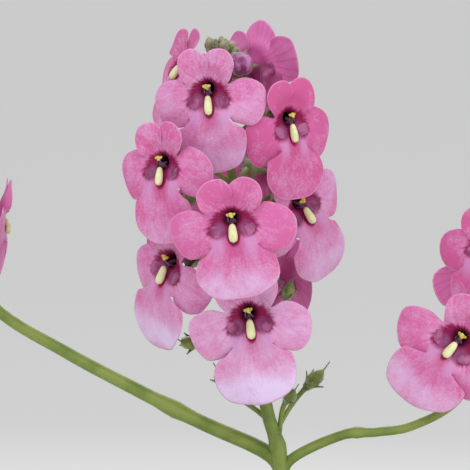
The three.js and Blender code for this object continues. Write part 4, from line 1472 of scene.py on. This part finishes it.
def makeGreenery():
    patterns = {
        "calyx": makeCalyx(),
        "pod": makePod(),
        "bigBud": makeBud("bigBud"),
        "tipBud": makeBud("tipBud"),
        "leaf": makeLeaf(),
    }
    made = [makeMainStem(patterns)]
    for kind, plans in (("stem", sideStems), ("shoot", shootPlans)):
        made += [makeSideStem(kind, name, plan, patterns) for name, plan in plans.items()]
    for pattern in patterns.values():
        bpy.data.objects.remove(pattern)
    return made


stems = makeGreenery()
print("stems ready:", len(stems))


# Pot: a turned profile with a rim band, softened edges and drain holes

potForm = {
    "height": 108,
    "rim": 62,
    "band": 24,
    "proud": 3.5,
    "foot": 42,
    "wall": 6,
    "floor": 8,
    "edge": 1.6,
    "drainRadius": 5,
    "drainRing": 22,
    "drains": 3,
    "drainSides": 32,
    "turns": 96,
    "soft": {"width": 0.7, "segments": 3, "angle_limit": math.radians(25)},
}


def potProfile():
    form = potForm
    edge, rim, top, foot = form["edge"], form["rim"], form["height"], form["foot"]
    inner, shoulder = rim - form["wall"], top - form["band"]
    return [
        (0, 0), (foot - edge, 0), (foot, edge), (rim - form["proud"] - 1, shoulder - edge),
        (rim - edge, shoulder), (rim, top - edge), (rim - edge, top), (inner + edge, top),
        (inner, top - edge), (inner - form["proud"], shoulder), (foot - form["wall"], form["floor"]),
        (0, form["floor"]),
    ]


def spunProfile(name, profile, turns):
    # a row of points pulled out one by one, then spun round Z
    mesh = bpy.data.meshes.new(name)
    edges = [(i, i + 1) for i in range(len(profile) - 1)]
    mesh.from_pydata([(radius, 0, z) for radius, z in profile], edges, [])
    item = bpy.data.objects.new(name, mesh)
    bpy.context.scene.collection.objects.link(item)
    selectOnly(item)
    bpy.ops.object.mode_set(mode="EDIT")
    bpy.ops.mesh.select_all(action="SELECT")
    bpy.ops.mesh.spin(steps=turns, angle=2 * math.pi, center=(0, 0, 0), axis=(0, 0, 1))
    bpy.ops.mesh.select_all(action="SELECT")
    bpy.ops.mesh.remove_doubles(threshold=0.01)
    bpy.ops.mesh.normals_make_consistent(inside=False)
    bpy.ops.object.mode_set(mode="OBJECT")
    return item


def makePot():
    form = potForm
    pot = spunProfile("twinspur_pot", potProfile(), form["turns"])
    for i in range(form["drains"]):
        spot = heading(360 * i / form["drains"] + 90) * form["drainRing"] + upright * form["floor"] / 2
        hole = {"vertices": form["drainSides"], "radius": form["drainRadius"], "depth": form["floor"] * 2}
        bpy.ops.mesh.primitive_cylinder_add(location=spot, **hole)
        drill = newest("drill")
        applyModifier(pot, "BOOLEAN", operation="DIFFERENCE", object=drill, solver="EXACT")
        bpy.data.objects.remove(drill)
    applyModifier(pot, "BEVEL", limit_method="ANGLE", **form["soft"])
    paint(pot, materials["clay"])
    return finishPiece(pot, "pot", "pot")


# Soil: a lumpy top with crumbs, bark and perlite

soilForm = {
    "level": 95,
    "mound": 4,
    "lump": 1.1,
    "gap": 0.35,
    "rings": 26,
    "sides": 96,
    "crumb": 0.7,
    "bottom": 8.5,
    "edgeGap": 0.6,
    "bare": 1.5,  # how far litter stays from the pot
}
litter = (
    {"kind": "soil", "count": 900, "size": (0.5, 1.5), "flat": 0.8},
    {"kind": "bark", "count": 130, "size": (0.9, 2.6), "flat": 0.4},
    {"kind": "perlite", "count": 70, "size": (0.6, 1.3), "flat": 0.85},
)
litterForm = {"ragged": (0.75, 1.2), "slim": 0.7, "turn": (0, 6.28), "tilt": (-0.5, 0.5), "lift": 0.2}


def soilTop(x, y):
    inside = potForm["rim"] - potForm["wall"]
    lumps = math.sin(x * 0.31 + 1.3) * math.cos(y * 0.27 - 0.6) + 0.6 * math.sin(x * 0.57 - y * 0.49)
    mound = soilForm["mound"] * (1 - (x * x + y * y) / inside ** 2)
    return soilForm["level"] + mound + soilForm["lump"] * lumps


def soilEdge(shoulder, narrow):  # the soil's radius at its top, inside the pot's sloping band
    slope = potForm["proud"] / potForm["band"]
    return narrow + (soilForm["level"] - shoulder) * slope - soilForm["edgeGap"]


def makeLitter(bit, draw, reach):  # loose bits strewn over the soil, all in one mesh
    form = litterForm
    bpy.ops.mesh.primitive_ico_sphere_add(subdivisions=1, radius=1)
    grain = newest("grain")
    corners, faces = [], []
    shape = [corner.co.copy() for corner in grain.data.vertices]
    sides = [tuple(face.vertices) for face in grain.data.polygons]
    for _ in range(bit["count"]):
        turn, radius = draw.uniform(0, 2 * math.pi), reach * math.sqrt(draw.random())
        x, y = radius * math.cos(turn), radius * math.sin(turn)
        size = draw.uniform(*bit["size"])
        spin = Matrix.Rotation(draw.uniform(*form["turn"]), 3, "Z")
        spin = spin @ Matrix.Rotation(draw.uniform(*form["tilt"]), 3, "X")
        start = len(corners)
        for point in shape:
            ragged = point * draw.uniform(*form["ragged"]) * size
            ragged = Vector((ragged.x, ragged.y * form["slim"], ragged.z * bit["flat"] * form["slim"]))
            corners.append(Vector((x, y, soilTop(x, y) + size * form["lift"])) + spin @ ragged)
        faces += [tuple(start + k for k in side) for side in sides]
    bits = bpy.data.meshes.new(bit["kind"])
    bits.from_pydata(corners, [], faces)
    grain.data = bits
    paint(grain, materials[bit["kind"]])
    return grain


def makeSoil():
    form = soilForm
    shoulder = potForm["height"] - potForm["band"]
    narrow = potForm["rim"] - potForm["wall"] - potForm["proud"]
    rim, foot = soilEdge(shoulder, narrow), potForm["foot"] - potForm["wall"] - form["gap"]
    profile = [(rim * k / form["rings"], form["level"]) for k in range(form["rings"] + 1)]
    profile += [(narrow - form["gap"], shoulder + form["gap"]), (foot, form["bottom"]), (0, form["bottom"])]
    soil = spunProfile("twinspur_soil", profile, form["sides"])
    draw = random.Random("soil")
    for corner in soil.data.vertices:
        if corner.co.z > form["level"] - 0.01:
            corner.co.z = soilTop(corner.co.x, corner.co.y) + draw.uniform(-1, 1) * form["crumb"] * 0.5
    paint(soil, materials["soil"])
    pieces = [soil] + [makeLitter(bit, draw, rim - form["bare"]) for bit in litter]
    return finishPiece(joined(pieces, "twinspur_soil"), "soil", "soil")


pot = makePot()
soil = makeSoil()
print("pot and soil ready")


# Stage: a pale floor that sweeps up far away, soft lamps and the camera at the photograph's angle

lamps = {
    "key": {"at": (-0.3, -0.75, 0.95), "size": 0.9, "power": 4.7},
    "fill": {"at": (0.75, -0.6, 0.4), "size": 1, "power": 3},
    "rim": {"at": (0.1, 0.8, 0.8), "size": 0.8, "power": 4},
}
cameraForm = {
    "target": (0, -0.01, 0.252),
    "distance": 0.45,
    "elevation": 5,
    "lens": 202.5,
    "sensor": 36,
    "clip": (0.01, 20),
}
stageForm = {
    "flat": 6,
    "sides": 96,
    "sweep": ((8, 0.12), (10, 0.5), (12, 1.2), (14, 2.2)),
    "floor": srgb(248, 248, 246),
    "room": srgb(236, 237, 238),
    "world": 0.75,
}


def makeStage():
    form = stageForm
    bpy.ops.mesh.primitive_circle_add(vertices=form["sides"], radius=form["flat"], fill_type="NGON")
    floor = newest("floor")
    bpy.ops.object.mode_set(mode="EDIT")
    bpy.ops.mesh.select_mode(type="EDGE")
    bpy.ops.mesh.select_all(action="SELECT")
    bpy.ops.mesh.region_to_loop()
    radius, height = form["flat"], 0
    for nextRadius, nextHeight in form["sweep"]:
        bpy.ops.mesh.extrude_edges_move(TRANSFORM_OT_translate={"value": (0, 0, nextHeight - height)})
        bpy.ops.transform.resize(value=(nextRadius / radius, nextRadius / radius, 1))
        radius, height = nextRadius, nextHeight
    bpy.ops.object.mode_set(mode="OBJECT")
    bpy.ops.object.shade_smooth()
    paint(floor, newMaterial("paleFloor", Roughness=0.9, Base_Color=form["floor"])[0])
    world = bpy.data.worlds.new("paleRoom")
    world.use_nodes = True
    background = world.node_tree.nodes["Background"]
    background.inputs["Color"].default_value = form["room"]
    background.inputs["Strength"].default_value = form["world"]
    bpy.context.scene.world = world
    for name, lamp in lamps.items():
        bpy.ops.object.light_add(type="AREA", location=lamp["at"])
        light = bpy.context.object
        light.name = name
        light.data.size = lamp["size"]
        light.data.energy = lamp["power"]
        aim = Vector(cameraForm["target"]) - Vector(lamp["at"])
        light.rotation_euler = aim.to_track_quat("-Z", "Y").to_euler()


def makeCamera():
    rise = math.radians(cameraForm["elevation"])
    away = Vector((0, -math.cos(rise), math.sin(rise)))
    bpy.ops.object.camera_add(location=Vector(cameraForm["target"]) + away * cameraForm["distance"])
    camera = bpy.context.object
    camera.name = "photoView"
    camera.rotation_euler = (-away).to_track_quat("-Z", "Y").to_euler()
    camera.data.lens = cameraForm["lens"]
    camera.data.sensor_width = cameraForm["sensor"]
    camera.data.clip_start, camera.data.clip_end = cameraForm["clip"]
    bpy.context.scene.camera = camera


deselectAll()
makeStage()
makeCamera()
bpy.context.scene.view_settings.view_transform = "Standard"
